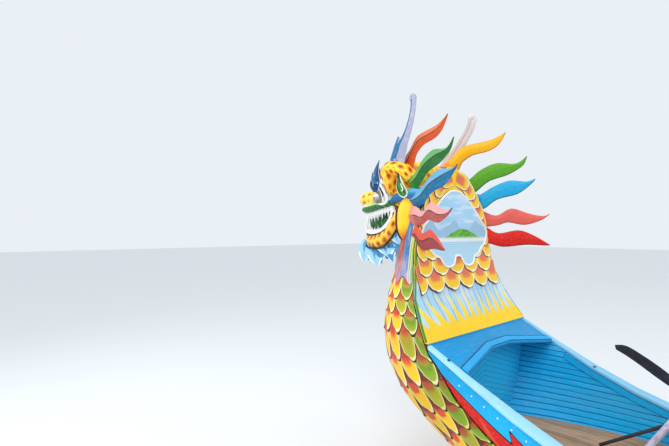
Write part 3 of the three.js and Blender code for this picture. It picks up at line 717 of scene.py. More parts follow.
def scale_mesh():
    """One pointed shingle: X across from -1 to 1, Y from root (0) to tip (1), Z its height."""
    bm = bmesh.new()
    s, t = mark_layer(bm, "s"), mark_layer(bm, "t")
    bmesh.ops.create_grid(bm, x_segments=4, y_segments=6, size=1)
    for vert in bm.verts:
        across, along = vert.co.x, (vert.co.y + 1) / 2
        narrow = 1.0 if along < 0.5 else math.sqrt(1.03 - ((along - 0.5) / 0.5) ** 2.4)
        vert[s], vert[t] = across, along
        vert.co = (across * narrow, along, along + 0.35 * (1 - across * across) * (1 - along * 0.5))
    border = [edge for edge in bm.edges if len(edge.link_faces) == 1]
    made = bmesh.ops.extrude_edge_only(bm, edges=border)["geom"]
    for vert in [item for item in made if isinstance(item, bmesh.types.BMVert)]:
        vert[t] = RIM_MARK
        vert.co.x *= RIM_OUT[0]
        vert.co.y = min(vert.co.y * RIM_OUT[1], RIM_OUT[0])
        vert.co.z = vert.co.z * RIM_FALL[0] + RIM_FALL[1]
    mesh = bpy.data.meshes.new("one_scale")
    bm.to_mesh(mesh)
    bm.free()
    return mesh


def lay_scale(bm, template, place, marks):
    """Adds one scale: place gives a point for its across, along and height."""
    before = len(bm.verts)
    bm.from_mesh(template)
    bm.verts.ensure_lookup_table()
    layers = {name: mark_layer(bm, name) for name in marks}
    for vert in bm.verts[before:]:
        vert.co = place(*vert.co)
        for name, value in marks.items():
            vert[layers[name]] = value


class BuildScales(bpy.types.Operator):
    """Lays the raised scales of the neck and the hull along the courses"""
    bl_idname = "boat.scales"
    bl_label = "Hull scales"

    regions = ((0, "neck_scales"), (18, "bow_scales"), (36, "foredeck_scales"), (72, "fore_scales"),
               (125, "middle_scales"), (180, "stern_scales"))
    neck_start = 7.0
    # Beside the panel the throat stripes run on over the first row
    stripes_end = 8.0
    stripes_edge = 0.7
    lowest = -0.05
    widest_scale = 0.17
    # Length of a scale in rows, pitch of the rows on the neck and on the side, and where it changes
    overlap = 2.5
    neck_pitch = 2.2
    side_pitch = 3.2
    pitch_change = (14, 60)
    # Where the greenish scales start under the cap, and between which heights the darker ones
    green_band = (0.11, 0.2)
    low_band = (1.15, 1.5)

    def execute(self, context):
        size = sizes()
        template = scale_mesh()
        paint = scale_paint("scale_paint_relief", ("high", "low"))
        rng = random.Random(11)
        meshes = {}
        row = self.neck_start
        count = 0
        last = len(COURSES.lines) - 1
        while row < last:
            girth = self.girth(row)
            width = min(girth / size.scale_columns, self.widest_scale)
            columns = int(girth / width + 0.01)
            for column in range(columns + 1):
                offset = column + (0.5 if count % 2 else 0.0)
                for sign in (1, -1):
                    if offset * width > girth + 0.001 or (sign < 0 and offset * width > girth - 0.01):
                        continue
                    self.lay(meshes, template, row, offset * width / girth, width / girth, sign, rng)
            count += 1
            row += self.pitch(row)
        bpy.data.meshes.remove(template)
        for name, bm in meshes.items():
            piece(name, bm, paint, slot="scale_paint", smooth=50)
        return {"FINISHED"}

    def girth(self, row):
        line = COURSES.lines[int(row)]
        return sum((b[0] - a[0]).length for a, b in zip(line, line[1:]))

    def pitch(self, row):
        """Rows stand closer on the neck than along the side, counted in steps of the courses."""
        return self.neck_pitch + (self.side_pitch - self.neck_pitch) * smooth_share(row, *self.pitch_change)

    def lay(self, meshes, template, row, edge, width, sign, rng):
        """Adds one scale whose middle is at a share of the girth away from the edge."""
        length = self.pitch(row) * self.overlap
        middle = max(1 - edge, 0) * sign
        centre, _ = COURSES.at(middle, row + length * 0.5)
        if centre.z < self.lowest or (row < self.stripes_end and abs(middle) > self.stripes_edge):
            return
        lift = sizes().scale_lift
        name = [label for start, label in self.regions if start <= row][-1]
        bm = meshes.setdefault(name, bmesh.new())
        turn = rng.uniform(-0.015, 0.015)

        def place(across, along, height):
            spot = min(max(middle - sign * across * width * HALF_SCALE, -1), 1)
            point, normal = COURSES.at(spot, row + along * length + across * turn)
            return point + normal * (SCALE_GAP + lift * height)

        start = COURSES.at(middle, row)[0]
        marks = {
            "green": 1 - smooth_share(1 - abs(middle), *self.green_band),
            "low": 1 - smooth_share(start.z, *self.low_band),
            "shade": rng.random(),
        }
        lay_scale(bm, template, place, marks)


class BuildThroat(bpy.types.Operator):
    """Lays the striped skin of the throat over the top of the neck"""
    bl_idname = "boat.throat"
    bl_label = "Throat stripes"

    last_row = 9.5
    side_fall = 2.2
    waves = 34
    wave_rise = 0.6
    ridges = 7
    ridge_rise = 0.007
    foot_rise = 0.008
    lift = 0.004

    def execute(self, context):
        bm = bmesh.new()
        across, along = mark_layer(bm, "across"), mark_layer(bm, "along")
        bmesh.ops.create_grid(bm, x_segments=72, y_segments=24, size=1)
        for vert in bm.verts:
            share, fall = vert.co.x, (vert.co.y + 1) / 2
            vert[across], vert[along] = abs(share), fall
            wave = self.wave_rise * math.sin(share * self.waves)
            reach = self.last_row + wave + self.side_fall * smooth_share(abs(share), 0.58, 0.7)
            point, normal = COURSES.at(share * 0.999, fall * reach)
            ridge = 0.5 + 0.5 * math.cos(abs(share) * 2 * math.pi * self.ridges)
            foot = self.foot_rise * smooth_share(fall, 0.6, 0.9)
            vert.co = point + normal * (self.lift + self.ridge_rise * ridge + foot)
        piece("throat_skin", bm, self.paint(), slot="scale_paint")
        return {"FINISHED"}

    def paint(self):
        paint = Paint("throat_stripes")
        across = paint.mark("across") + (paint.noise(5, 3) - 0.5) * 0.05
        stops = [
            (0.0, "D23A20"), (0.12, "F2E2C0"), (0.15, "C8341C"), (0.27, "F09A3A"), (0.3, "F2E2C0"),
            (0.33, "B82C16"), (0.4, "7A160C"), (0.48, "4E100A"), (0.68, "7A1C10"), (0.8, "B03A22"),
            (0.84, "5A160E"), (0.85, "1C78B4"), (0.93, "145E9C"), (0.938, "DCE8C0"), (0.945, "B4D05A"),
            (0.958, "2A5A24"), (0.964, "DCE060"), (0.98, "A8C848"), (0.986, "3E8E28"), (0.998, "50A028"),
        ]
        bands = paint.ramp(across, stops)
        bands = paint.mix(paint.step(paint.mark("along"), 0.55, 1.0) * 0.45, bands, "B8B0DC")
        flow = paint.patches(0.42, 0.7, 26, 4, (1, 1, 0.2))
        return paint.weathered(paint.mix(flow * 0.4, bands, "F3C8A0"), dirt=0.1, gloss=0.35)


class BuildBands(bpy.types.Operator):
    """Adds the blue and red bands under the gunwale caps, with their row of nail heads"""
    bl_idname = "boat.bands"
    bl_label = "Flame bands"

    fore_end = 4.995
    length = 11.47
    # The band runs on under the first scales
    tuck = 0.012
    lift = 0.004
    nail_places = (4.75, -6.4)
    nail_pitch = 0.09
    nail_drop = 0.055
    nail_radius = 0.006

    def execute(self, context):
        paint = self.paint()
        nail_paint = plain_paint("nail_paint", hue("white"), dirt=0.4)
        for side, sign in SIDES:
            bm = bmesh.new()
            depth = mark_layer(bm, "depth")
            bmesh.ops.create_grid(bm, x_segments=240, y_segments=8, size=1)
            for vert in bm.verts:
                x = self.fore_end - (1 - vert.co.x) / 2 * self.length
                drop = (1 - vert.co.y) / 2 * (band_depth(x) + self.tuck)
                vert[depth] = drop
                point, normal = self.side_at(x, drop, sign)
                vert.co = point + normal * self.lift
            piece(f"flame_band_{side}", bm, paint, slot="red_paint")
            single(f"band_nails_{side}", lambda bm: self.nails(bm, sign), nail_paint, slot="white_paint")
        return {"FINISHED"}

    def nails(self, bm, sign):
        x, end = self.nail_places
        while x > end:
            point, normal = self.side_at(x, self.nail_drop, sign)
            blob(bm, point + normal * self.nail_radius / 2, [self.nail_radius] * 3, u=8, v=5)
            x -= self.nail_pitch

    def side_at(self, x, drop, sign):
        for aside in (0, 0.002, -0.002):
            at = x + aside
            point, normal = hit(SKIN, (at, 3 * sign, sheer(at) - CAP_DEPTH - drop), (0, -sign, 0))
            if point is not None:
                return point, normal
        raise RuntimeError(f"No hull side at x {x:.3f}, {drop:.3f} below the cap")

    def paint(self):
        """Blue above a black outline with hooked tips, red with paler tongues below."""
        paint = Paint("flame_band_paint")
        x, _, _ = paint.axes()
        depth = paint.mark("depth")
        sheared = (x + depth * 1.6) / 0.62 + paint.noise(1.1, 1) * 1.2
        saw = paint.math("FRACT", sheared)
        hook = saw ** 2.2 * (1 - paint.step(saw, 0.86, 1.0))
        edge = 0.145 - hook * 0.095
        gap = depth - edge
        fine = paint.math("FRACT", sheared * 2 + 0.3)
        tongue = paint.step(paint.math("SINE", fine * 6.28) * 0.5 + gap * 4, 0.55, 0.75)
        red = paint.mix(tongue * 0.5, hue("red"), "F0603A")
        patch = paint.patches(0.4, 0.7, 3, 3) * 0.5
        blue = paint.mix(patch, hue("sky_blue"), hue("deep_blue", 0.8))
        both = paint.mix(paint.step(gap, -0.001, 0.001), blue, red)
        line = 1 - paint.step(abs(gap), 0.004, 0.007)
        return paint.weathered(paint.mix(line, both, "0E1418"), dirt=0.16, gloss=0.4)


class BuildPanel(bpy.types.Operator):
    """Paints the panel behind the neck and adds its border of relief scales"""
    bl_idname = "boat.panel"
    bl_label = "Neck panel"

    # Height of the roots, shift in widths, length and the clear half width in the middle
    bottom_rows = ((1.83, 0.667, 0.215, 0.0), (1.95, 0.167, 0.21, 0.0), (2.08, 0.667, 0.215, 0.3))
    bottom_width = 0.228
    # Gap between the rows and the panel's edge, and how far past it the middle of a scale may lie
    bottom_margin = 0.012
    bottom_reach = 0.06
    # The scales along the arch are not held inside an edge
    no_edge = 9
    arch_size = (0.145, 0.195)
    arch_heights = (2.57, 2.53, 2.46, 2.37, 2.27, 2.16, 2.05, 1.94)
    arch_inset = 0.062
    crown_aside = 0.04
    relief = 0.011
    plate = 0.018
    rim_size = (0.009, 0.007)
    edging_foot = 1.31
    edging_pitch = 0.045
    edging_rows = 29
    edging_out = 0.001
    edging_size = (0.006, 0.01)
    picture_middle = 0.01
    # Outline of the picture: distance from its middle, height of its top or of its foot
    picture_top = ((0.0, 2.45), (0.08, 2.44), (0.17, 2.396), (0.225, 2.357), (0.33, 2.27), (0.4, 2.202),
                   (0.475, 2.14), (0.5, 2.088))
    picture_foot = ((0.0, 1.895), (0.04, 1.89), (0.062, 1.85), (0.08, 1.824), (0.12, 1.808), (0.16, 1.804),
                    (0.21, 1.815), (0.245, 1.845), (0.268, 1.885), (0.33, 1.9), (0.375, 1.935), (0.405, 1.96),
                    (0.455, 1.985), (0.485, 2.025), (0.5, 2.088))
    # Heights of what is painted on the board and in the picture
    flame_foot = 1.39
    scales_foot = 1.7
    shore = 2.03
    near_bank = 2.075
    far_hills = 2.15

    def execute(self, context):
        template = scale_mesh()
        bm = bmesh.new()
        rng = random.Random(5)
        for root, shift, length, clear in self.bottom_rows:
            half = self.half_width(root - length * 0.5) - self.bottom_margin
            count = int(half / self.bottom_width) + 1
            for i in range(-count, count + 1):
                middle = (i + shift) * self.bottom_width
                if clear <= abs(middle) < half + self.bottom_reach:
                    self.lay(bm, template, (middle, root), (0, -1), (self.bottom_width, length), half, rng)
        for sign in (1, -1):
            for y, z, dy, dz in reversed(self.arch_path()):
                self.lay(bm, template, (y * sign, z), (dy * sign, dz), self.arch_size, self.no_edge, rng)
        bpy.data.meshes.remove(template)
        piece("panel_scales", bm, scale_paint("panel_scale_paint", ("panel",)), slot="scale_paint", smooth=50)
        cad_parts["neck_panel"].data.materials[0] = self.ground()
        self.edging()
        self.picture()
        return {"FINISHED"}

    def picture(self):
        """The painted picture on a thin plate over the scales, and its raised white rim."""
        reach = self.picture_top[-1][0]
        columns, steps = 72, 18
        top, foot, rings = [], [], []
        for i in range(columns + 1):
            aside = reach * (2 * i / columns - 1)
            y = self.picture_middle + aside * 0.995
            high = read_rows(self.picture_top, abs(aside), 1)
            low = read_rows(self.picture_foot, abs(aside), 1)
            heights = [low + (high - low) * j / steps for j in range(steps + 1)]
            front = [self.surface(y, z) - Vector((self.plate, 0, 0)) for z in heights]
            behind = [self.surface(y, z) - Vector((0.002, 0, 0)) for z in reversed(heights)]
            if 0 < i < columns:
                rings.append(front + behind)
            top.append((panel_back(high) - self.plate, y, high, *self.rim_size))
            foot.append((panel_back(low) - self.plate, y, low, *self.rim_size))
        single("panel_picture", lambda bm: loft(bm, rings), self.lake(), slot="pale_blue_paint", smooth=60)
        single("picture_rim", lambda bm: sweep(bm, top + foot[-2::-1], 260, 8, (1, 0, 0)),
               plain_paint("picture_rim_paint", "FBFCF4", dirt=0.05), slot="white_paint")

    def half_width(self, z):
        """Half width of the panel at a height."""
        point, _ = hit(PANEL, (panel_back(z) + 0.012, 3, z), (0, -1, 0))
        return point.y

    def arch_path(self):
        """Roots and directions of the border scales, from the crown down the port edge."""
        spots = [(self.half_width(z) - self.arch_inset, z) for z in self.arch_heights]
        spots[0] = (self.crown_aside, self.arch_heights[0])
        path = []
        for (y, z), (next_y, next_z) in zip(spots, spots[1:]):
            aim = Vector((next_y - y, next_z - z)).normalized()
            path.append((y, z, aim.x, aim.y))
        return path

    def surface(self, y, z):
        return Vector((panel_back(z), y, z))

    def lay(self, bm, template, root, aim, size, half, rng):
        width, length = size
        side = (-aim[1], aim[0])

        def place(across, along, height):
            y = root[0] + aim[0] * along * length + side[0] * across * width * HALF_SCALE
            z = root[1] + aim[1] * along * length + side[1] * across * width * HALF_SCALE
            y = min(max(y, -half), half)
            return self.surface(y, z) - Vector((SCALE_GAP + self.relief * height, 0, 0))

        lay_scale(bm, template, place, {"green": 0.0, "low": 0.0, "shade": rng.random() * 0.5})

    def edging(self):
        """The thin green edging along the sides of the panel."""
        heights = [self.edging_foot + self.edging_pitch * i for i in range(self.edging_rows)]
        for side, sign in SIDES:
            rows = [
                (panel_back(z) + 0.009, sign * (self.half_width(z) + self.edging_out), z, *self.edging_size)
                for z in heights
            ]
            single(f"panel_edging_{side}", lambda bm: sweep(bm, rows, 60, 8, (1, 0, 0)),
                   plain_paint(f"panel_edging_paint_{side}", hue("green", 0.75)), slot="green_paint")

    def lake(self):
        """Streaky sky, far hills, a near green bank, mist and rippled water."""
        paint = Paint("lake_picture")
        _, y, z = paint.axes()
        streak = paint.patches(0.45, 0.7, 7, 4, (1, 0.5, 3))
        sky = paint.mix(streak * 0.8, "A4D4F2", "E4F0F8")
        far = self.far_hills + paint.math("SINE", y * 17 + 0.6) * 0.035 + paint.math("SINE", y * 39) * 0.012
        near = self.near_bank + paint.math("SINE", y * 8 + 2.2) * 0.045 + (paint.noise(30, 3) - 0.5) * 0.02
        hills = paint.mix(1 - paint.step(z - far, -0.004, 0.004), sky, "9CC4DE")
        bank = paint.mix(paint.patches(0.4, 0.65, 40, 4), "6FBE34", "3A8F2C")
        land = paint.mix(1 - paint.step(z - near, -0.003, 0.003), hills, bank)
        ripple = paint.step(paint.math("SINE", z * 420 + paint.noise(12, 3) * 9), 0.3, 0.9)
        water = paint.mix(ripple * 0.6, "A4D4EE", "E8F4F8")
        mist = 1 - paint.step(abs(z - self.shore), 0.004, 0.03)
        wet = paint.mix(1 - paint.step(z, self.shore - 0.005, self.shore + 0.005), land, water)
        return paint.weathered(paint.mix(mist * 0.85, wet, "F4F8FA"), dirt=0.05, gloss=0.36, depth=0.0004)

    def ground(self):
        """Pale blue with thin curved lines, and yellow flames rising from the foot."""
        paint = Paint("panel_painting")
        _, y, z = paint.axes()
        sway = paint.math("SINE", z * 9 + y * 4) * 0.035
        lines = paint.math("SINE", (y + sway * (1.8 - z) * 2) * 88)
        sea = paint.mix(paint.patches(0.4, 0.7, 4, 3), "A9D3EE", "D3E7F4")
        ruled = paint.mix(paint.step(lines, 0.965, 0.99) * 0.85, sea, "24405C")
        tongues = paint.math("FRACT", (y + sway) * 8.5 + paint.noise(2, 2) * 0.8)
        top = self.flame_foot + tongues ** 2 * (0.1 + paint.noise(3.3, 1, (1, 1, 0.01)) * 0.26)
        flame = 1 - paint.step(z - top, -0.006, 0.006)
        lit = paint.mix(paint.step(z, 1.36, 1.55), "FFD208", "FBE250")
        low = paint.mix(flame, ruled, lit)
        under = paint.mix(paint.step(z, self.scales_foot, self.scales_foot + 0.02), low, "FFC814")
        return paint.weathered(under, dirt=0.1, gloss=0.36, depth=0.0004)


# Head of the dragon

SPOT_STOPS = ((0.0, "7E1E04"), (0.13, "A8380A"), (0.22, "DC6A10"), (0.31, "F79C14"), (0.42, "FFC81C"),
              (0.6, "FFE04A"))


def spotted_paint(name, columns=0, rows=0, scale=17.0, blush="F08A18"):
    """Brown drops that fade through orange into a yellow net, laid in rows along a roll or in cells."""
    paint = Paint(name)
    if columns:
        turn = paint.math("ARCSINE", paint.mark("around") * 0.999) / math.pi * rows
        course = paint.math("FLOOR", turn)
        sway = (paint.noise(9, 2) - 0.5) * 0.5
        spot = paint.mark("along") * columns + course * 0.5 + sway
        aside = paint.math("FRACT", spot) - 0.5
        above = turn - course - 0.5 + aside * 0.12
        cell = paint.math("SQRT", aside ** 2 + above ** 2 * 0.85)
    else:
        cell = paint.cells(scale, (1, 1, 0.8), 0.45)
    drops = paint.ramp(cell, SPOT_STOPS)
    glow = paint.patches(0.45, 0.7, 6, 4) * 0.35
    return paint.weathered(paint.mix(glow, drops, blush), dirt=0.05, gloss=0.28)


def flame_paint(name, upper, lower, inner, root):
    """A lighter tone above the ridge and a darker tone below it as painted shade on the outer face, split by
    a dark ridge line, and one tone behind.
    """
    paint = Paint(name)
    across, along, face = paint.mark("across"), paint.mark("along"), paint.mark("face")
    # The lower face takes the darker tone as painted shade
    shade = paint.mix(paint.step(across, 0.53, 0.58), lower, upper)
    streak = paint.patches(0.45, 0.75, 20, 4, (1, 1, 2.5))
    worn = paint.mix(streak * 0.12, shade, lightened(upper, 1.5, 0.05))
    ridge = (1 - paint.step(abs(across - 0.55), 0.028, 0.05)) * (1 - paint.step(along, 0.93, 1.0))
    outer = paint.mix(ridge * 0.85, worn, "2A1712")
    back = paint.mix(streak * 0.12, inner, lightened(inner, 1.35, 0.03))
    both = paint.mix(paint.step(face, 0.4, 0.6), back, outer)
    tipped = paint.mix(paint.step(along, 0.9, 1.0) * 0.5, both, "6A2A12")
    rooted = paint.mix((1 - paint.step(along, 0.02, 0.2)) * 0.75, tipped, root)
    return paint.weathered(rooted, dirt=0.12, gloss=0.34)


def upright(root, run, tip, points, end_gap):
    """Turns points of a flame's own upright plane into boat points, ending at the tip."""
    return [*(root + run * u + Vector((0, 0, v)) for u, v in points), tip + Vector((0, 0, end_gap))]


# Tones: upper face, lower face painted darker as shade, back face and root
MANE_FLAMES = [
    {
        "root": (5.545, 0.3, 2.63), "tip": (5.03, 0.46, 2.99),
        "upper": [(-0.09, 0.02), (-0.012, 0.126), (0.045, 0.168), (0.11, 0.234), (0.175, 0.272),
                  (0.295, 0.29), (0.409, 0.306), (0.48, 0.334)],
        "lower": [(0.02, -0.11), (0.11, 0.03), (0.146, 0.108), (0.187, 0.145), (0.255, 0.18), (0.384, 0.203),
                  (0.466, 0.244), (0.512, 0.3)],
        "tones": ("E4723E", "CC4C0A", "F4B400", "D8480C"),
    },
    {
        "root": (5.487, 0.36, 2.52), "tip": (4.895, 0.59, 2.775),
        "upper": [(0.04, 0.03), (0.12, 0.062), (0.236, 0.156), (0.375, 0.209), (0.538, 0.195)],
        "lower": [(0.09, -0.09), (0.186, -0.054), (0.31, 0.044), (0.475, 0.096), (0.6, 0.172)],
        "tones": ("52A452", "0C641E", "56A416", "3F8A1E"),
    },
    {
        "root": (5.42, 0.4, 2.36), "tip": (4.84, 0.63, 2.57),
        "upper": [(-0.06, 0.04), (0.11, 0.066), (0.274, 0.158), (0.41, 0.205), (0.553, 0.19)],
        "lower": [(-0.06, -0.08), (0.163, -0.058), (0.303, 0.034), (0.481, 0.081), (0.6, 0.172)],
        "tones": ("5CA4C8", "006894", "14AADC", "0A7AA8"),
    },
    {
        "root": (5.333, 0.48, 2.23), "tip": (4.78, 0.79, 2.255),
        "upper": [(-0.04, 0.075), (0.056, 0.066), (0.181, 0.02), (0.311, 0.085), (0.46, 0.037),
                  (0.575, 0.012)],
        "lower": [(-0.04, -0.1), (0.085, -0.087), (0.196, -0.072), (0.283, -0.046), (0.425, -0.07),
                  (0.56, -0.03)],
        "tones": ("E69C98", "B44A46", "EA6258", "DC8078"),
    },
    {
        "root": (5.3, 0.5, 2.07), "tip": (4.8, 0.85, 1.975),
        "upper": [(-0.03, 0.07), (0.047, 0.076), (0.16, 0.015), (0.34, 0.042), (0.48, -0.01)],
        "lower": [(-0.03, -0.08), (0.062, -0.08), (0.203, -0.114), (0.406, -0.095), (0.56, -0.1)],
        "tones": ("D2442C", "98242A", "E01402", "E04A0C"),
    },
]


class BuildMane(bpy.types.Operator):
    """Carves the ten flames of the mane"""
    bl_idname = "boat.mane"
    bl_label = "Mane flames"

    tip_gap = 0.003

    def execute(self, context):
        for number, flame in enumerate(MANE_FLAMES, 1):
            paint = flame_paint(f"mane_flame_paint_{number}", *map(screen, flame["tones"]))
            pair(f"mane_flame_{number}", lambda bm: self.flame(bm, flame), paint,
                 replaces=(f"mane_flame_{number}",), smooth=35)
        return {"FINISHED"}

    def flame(self, bm, flame):
        root, tip = Vector(flame["root"]), Vector(flame["tip"])
        run = Vector((tip.x - root.x, tip.y - root.y, 0)).normalized()
        out = Vector((-run.y, run.x, 0))
        if out.y < 0:
            out = -out
        lower = upright(root, run, tip, flame["lower"], -self.tip_gap)
        upper = upright(root, run, tip, flame["upper"], self.tip_gap)
        blade(bm, lower, upper, out, sizes().flame_depth)


class BuildSkull(bpy.types.Operator):
    """Models the brow rolls, the cranium, the nose and the spotted jaw"""
    bl_idname = "boat.skull"
    bl_label = "Skull and jaws"

    brow = [
        (5.692, 0.325, 2.43, 0.022, 0.03), (5.698, 0.32, 2.48, 0.052, 0.07),
        (5.706, 0.305, 2.56, 0.078, 0.11), (5.718, 0.29, 2.625, 0.086, 0.13),
        (5.672, 0.29, 2.656, 0.082, 0.14), (5.59, 0.305, 2.645, 0.074, 0.13),
        (5.522, 0.325, 2.605, 0.068, 0.115), (5.484, 0.34, 2.555, 0.05, 0.085),
        (5.47, 0.35, 2.512, 0.024, 0.045),
    ]
    jaw = [
        (5.625, 0.3, 2.31, 0.018, 0.026), (5.668, 0.29, 2.2, 0.05, 0.062), (5.77, 0.245, 2.08, 0.066, 0.078),
        (5.92, 0.195, 2.016, 0.076, 0.078), (6.05, 0.15, 2.01, 0.07, 0.072),
        (6.15, 0.088, 2.028, 0.06, 0.06), (6.19, 0.0, 2.04, 0.056, 0.056),
    ]
    # Eggs of the head: centre and half size
    forehead = ((5.64, 0, 2.56), (0.23, 0.33, 0.185))
    cheekbones = ((5.6, 0, 2.4), (0.25, 0.35, 0.15))
    muzzle = ((5.9, 0, 2.42), (0.21, 0.255, 0.11))
    nose_bridge = ((6.06, 0, 2.42), (0.22, 0.19, 0.085))
    nostril = ((6.15, 0.098, 2.414), (0.112, 0.108, 0.086))
    nose_side = ((6.03, 0.16, 2.395), (0.12, 0.085, 0.075))
    chin = ((5.9, 0, 2.05), (0.28, 0.215, 0.085))

    def execute(self, context):
        brow_paint = spotted_paint("brow_skin", 8.0, 4.6)
        skin = spotted_paint("spotted_skin")
        nose_paint = spotted_paint("nose_skin", scale=20.0, blush="F6B88A")
        pair("brow_roll", lambda bm: sweep(bm, self.brow, 40, 24, ACROSS), brow_paint, slot="orange_paint")
        single("cranium", self.cranium, skin, slot="orange_paint", replaces=("skull",))
        single("nose", self.nose, nose_paint, slot="orange_paint", replaces=("snout",))
        single("jaw_roll", self.jaw_roll, spotted_paint("jaw_skin", 21.0, 3.0), slot="orange_paint",
               replaces=("lower_jaw",))
        return {"FINISHED"}

    def cranium(self, bm):
        for egg in (self.forehead, self.cheekbones, self.muzzle):
            blob(bm, *egg, u=32, v=20)

    def nose(self, bm):
        blob(bm, *self.nose_bridge, self.bridge, 28, 18)
        for sign in (1, -1):
            for (x, y, z), size in (self.nostril, self.nose_side):
                blob(bm, (x, y * sign, z), size, u=24, v=16)

    def jaw_roll(self, bm):
        sweep(bm, mirrored(self.jaw), 60, 18)
        blob(bm, *self.chin, u=28, v=16)

    def bridge(self, spot):
        """Flattens the snout towards its front."""
        spot.z *= 1 - 0.25 * max(spot.x, 0)
        return spot


class BuildMouth(bpy.types.Operator):
    """Models the lips, gums, teeth, tongue and the green inside of the mouth"""
    bl_idname = "boat.mouth"
    bl_label = "Mouth and teeth"

    lip = [
        (5.62, 0.33, 2.372, 0.016, 0.018), (5.7, 0.322, 2.358, 0.034, 0.024),
        (5.87, 0.285, 2.334, 0.044, 0.028), (6.02, 0.23, 2.32, 0.044, 0.03),
        (6.15, 0.165, 2.316, 0.044, 0.03), (6.225, 0.08, 2.316, 0.042, 0.028),
        (6.245, 0.0, 2.316, 0.04, 0.028),
    ]
    upper_gum = [
        (5.69, 0.312, 2.312, 0.012, 0.026), (5.87, 0.274, 2.286, 0.016, 0.028),
        (6.02, 0.216, 2.27, 0.016, 0.026), (6.15, 0.154, 2.265, 0.016, 0.024),
        (6.225, 0.078, 2.264, 0.016, 0.024), (6.24, 0.0, 2.264, 0.016, 0.024),
    ]
    lower_gum = [
        (5.7, 0.3, 2.18, 0.012, 0.03), (5.8, 0.265, 2.13, 0.018, 0.03), (5.93, 0.225, 2.095, 0.02, 0.028),
        (6.06, 0.18, 2.085, 0.02, 0.026), (6.17, 0.11, 2.092, 0.018, 0.026),
        (6.215, 0.0, 2.098, 0.018, 0.026),
    ]
    gum_edge = [
        (5.676, 0.322, 2.27), (5.684, 0.32, 2.225), (5.7, 0.314, 2.186), (5.8, 0.284, 2.121),
        (5.932, 0.243, 2.078), (6.066, 0.196, 2.066), (6.184, 0.124, 2.074), (6.231, 0.0, 2.082),
    ]
    corner = [
        (5.69, 0.312, 2.325, 0.012, 0.02), (5.69, 0.312, 2.27, 0.03, 0.016),
        (5.712, 0.304, 2.215, 0.034, 0.016), (5.775, 0.286, 2.16, 0.03, 0.016),
        (5.86, 0.256, 2.122, 0.022, 0.016),
    ]
    gum_line_size = (0.009, 0.008)
    mouth_egg = ((5.9, 0, 2.2), (0.29, 0.255, 0.115))
    tongue_egg = ((5.99, 0, 2.12), (0.17, 0.09, 0.035))
    # Teeth along a gum: how far a long one stands out, the share of a short one and the half width
    upper_teeth = -0.074
    lower_teeth = 0.056
    short_tooth = 0.7
    tooth_width = 0.0155
    # Fangs: root and run to the tip
    fangs = (((6.215, 0.085, 2.1), (0.025, 0.01, 0.13)), ((6.15, 0.158, 2.262), (-0.015, 0, -0.125)))
    fang_width = 0.022
    crest_out = 0.018
    crest_height = 0.03
    crest_width = 0.011

    def execute(self, context):
        enamel = mottled_paint("enamel", "F6F6F0", "B9C4C6", 0.4, (0.5, 0.75, 18, 4), dirt=0.12, gloss=0.22)
        inside = mottled_paint("mouth_inside_paint", "0E3B1C", "2C7A3A", 1, (0.45, 0.6, 30, 4), dirt=0.2)
        single("upper_lip", lambda bm: sweep(bm, mirrored(self.lip), 70, 16), self.lip_paint(),
               slot="green_paint")
        single("lip_crest", self.lip_crest, plain_paint("lip_crest_paint", "E9EEC0"), slot="white_paint")
        single("gums", self.gums, self.gum_paint(), slot="white_paint")
        line = mirrored([(*place, *self.gum_line_size) for place in self.gum_edge])
        single("gum_line", lambda bm: sweep(bm, line, 70, 8),
               plain_paint("gum_line_paint", "241A18", dirt=0.1), slot="dark_wood")
        single("teeth", self.teeth, enamel, slot="white_paint", smooth=50)
        single("mouth_inside", lambda bm: blob(bm, *self.mouth_egg, self.filled, 32, 18), inside,
               slot="green_paint")
        single("tongue", lambda bm: blob(bm, *self.tongue_egg, self.tongue_shape, 24, 14),
               plain_paint("tongue_paint", "E9B9A6", gloss=0.25), slot="salmon_paint")
        return {"FINISHED"}

    def gums(self, bm):
        """Both gums and the folds that join them at the corners of the mouth."""
        for rows in (self.upper_gum, self.lower_gum):
            sweep(bm, mirrored(rows), 60, 12)
        for sign in (1, -1):
            sweep(bm, [(x, y * sign, *rest) for x, y, *rest in self.corner], 20, 12, ACROSS)

    def filled(self, spot):
        """Squares the egg and narrows its front, so that it fills the mouth."""
        full = spot / sum(abs(part) ** 3 for part in spot) ** (1 / 3)
        full.y *= 1 - 0.4 * max(full.x, 0) ** 0.7
        return full

    def tongue_shape(self, spot):
        spot.z += 0.9 * max(spot.x, 0) ** 2 - 0.3 * (1 - spot.y * spot.y)
        return spot

    def tooth(self, bm, root, tip, width):
        """One flat pointed tooth."""
        made = bmesh.ops.create_cone(
            bm, cap_ends=True, segments=8, radius1=width, radius2=width * 0.12, depth=1)["verts"]
        for vert in made:
            share = vert.co.z + 0.5
            bend = 0.12 * math.sin(share * math.pi) * tip.length
            vert.co = root + tip * share + Vector((vert.co.x, vert.co.y * 0.7, 0)) + Vector((bend, 0, 0))

    def teeth(self, bm):
        for rows, height in ((self.upper_gum, self.upper_teeth), (self.lower_gum, self.lower_teeth)):
            for i, row in enumerate(spline(mirrored(rows), 46)[1:-1]):
                tall = height * (1 if i % 2 else self.short_tooth)
                self.tooth(bm, Vector(row[:3]), Vector((0, 0, tall)), self.tooth_width)
        for sign in (1, -1):
            for (x, y, z), (ahead, aside, rise) in self.fangs:
                self.tooth(bm, Vector((x, y * sign, z)), Vector((ahead, aside * sign, rise)), self.fang_width)

    def lip_crest(self, bm):
        """Small upright points along the outer edge of the lip."""
        path = spline(mirrored(self.lip), 64)
        behind_lips = 5.6
        for first, second in zip(path, path[1:]):
            x, y, z, _, height = first
            back = Vector(second[:3]) - Vector(first[:3])
            out = Vector((back.y, -back.x, 0)).normalized() * -self.crest_out
            if out.dot(Vector((x - behind_lips, y, 0))) < 0:
                out = -out
            tip = Vector((0, 0, self.crest_height)) + out * 0.5
            self.tooth(bm, Vector((x, y, z + height * 0.8)) + out, tip, self.crest_width)

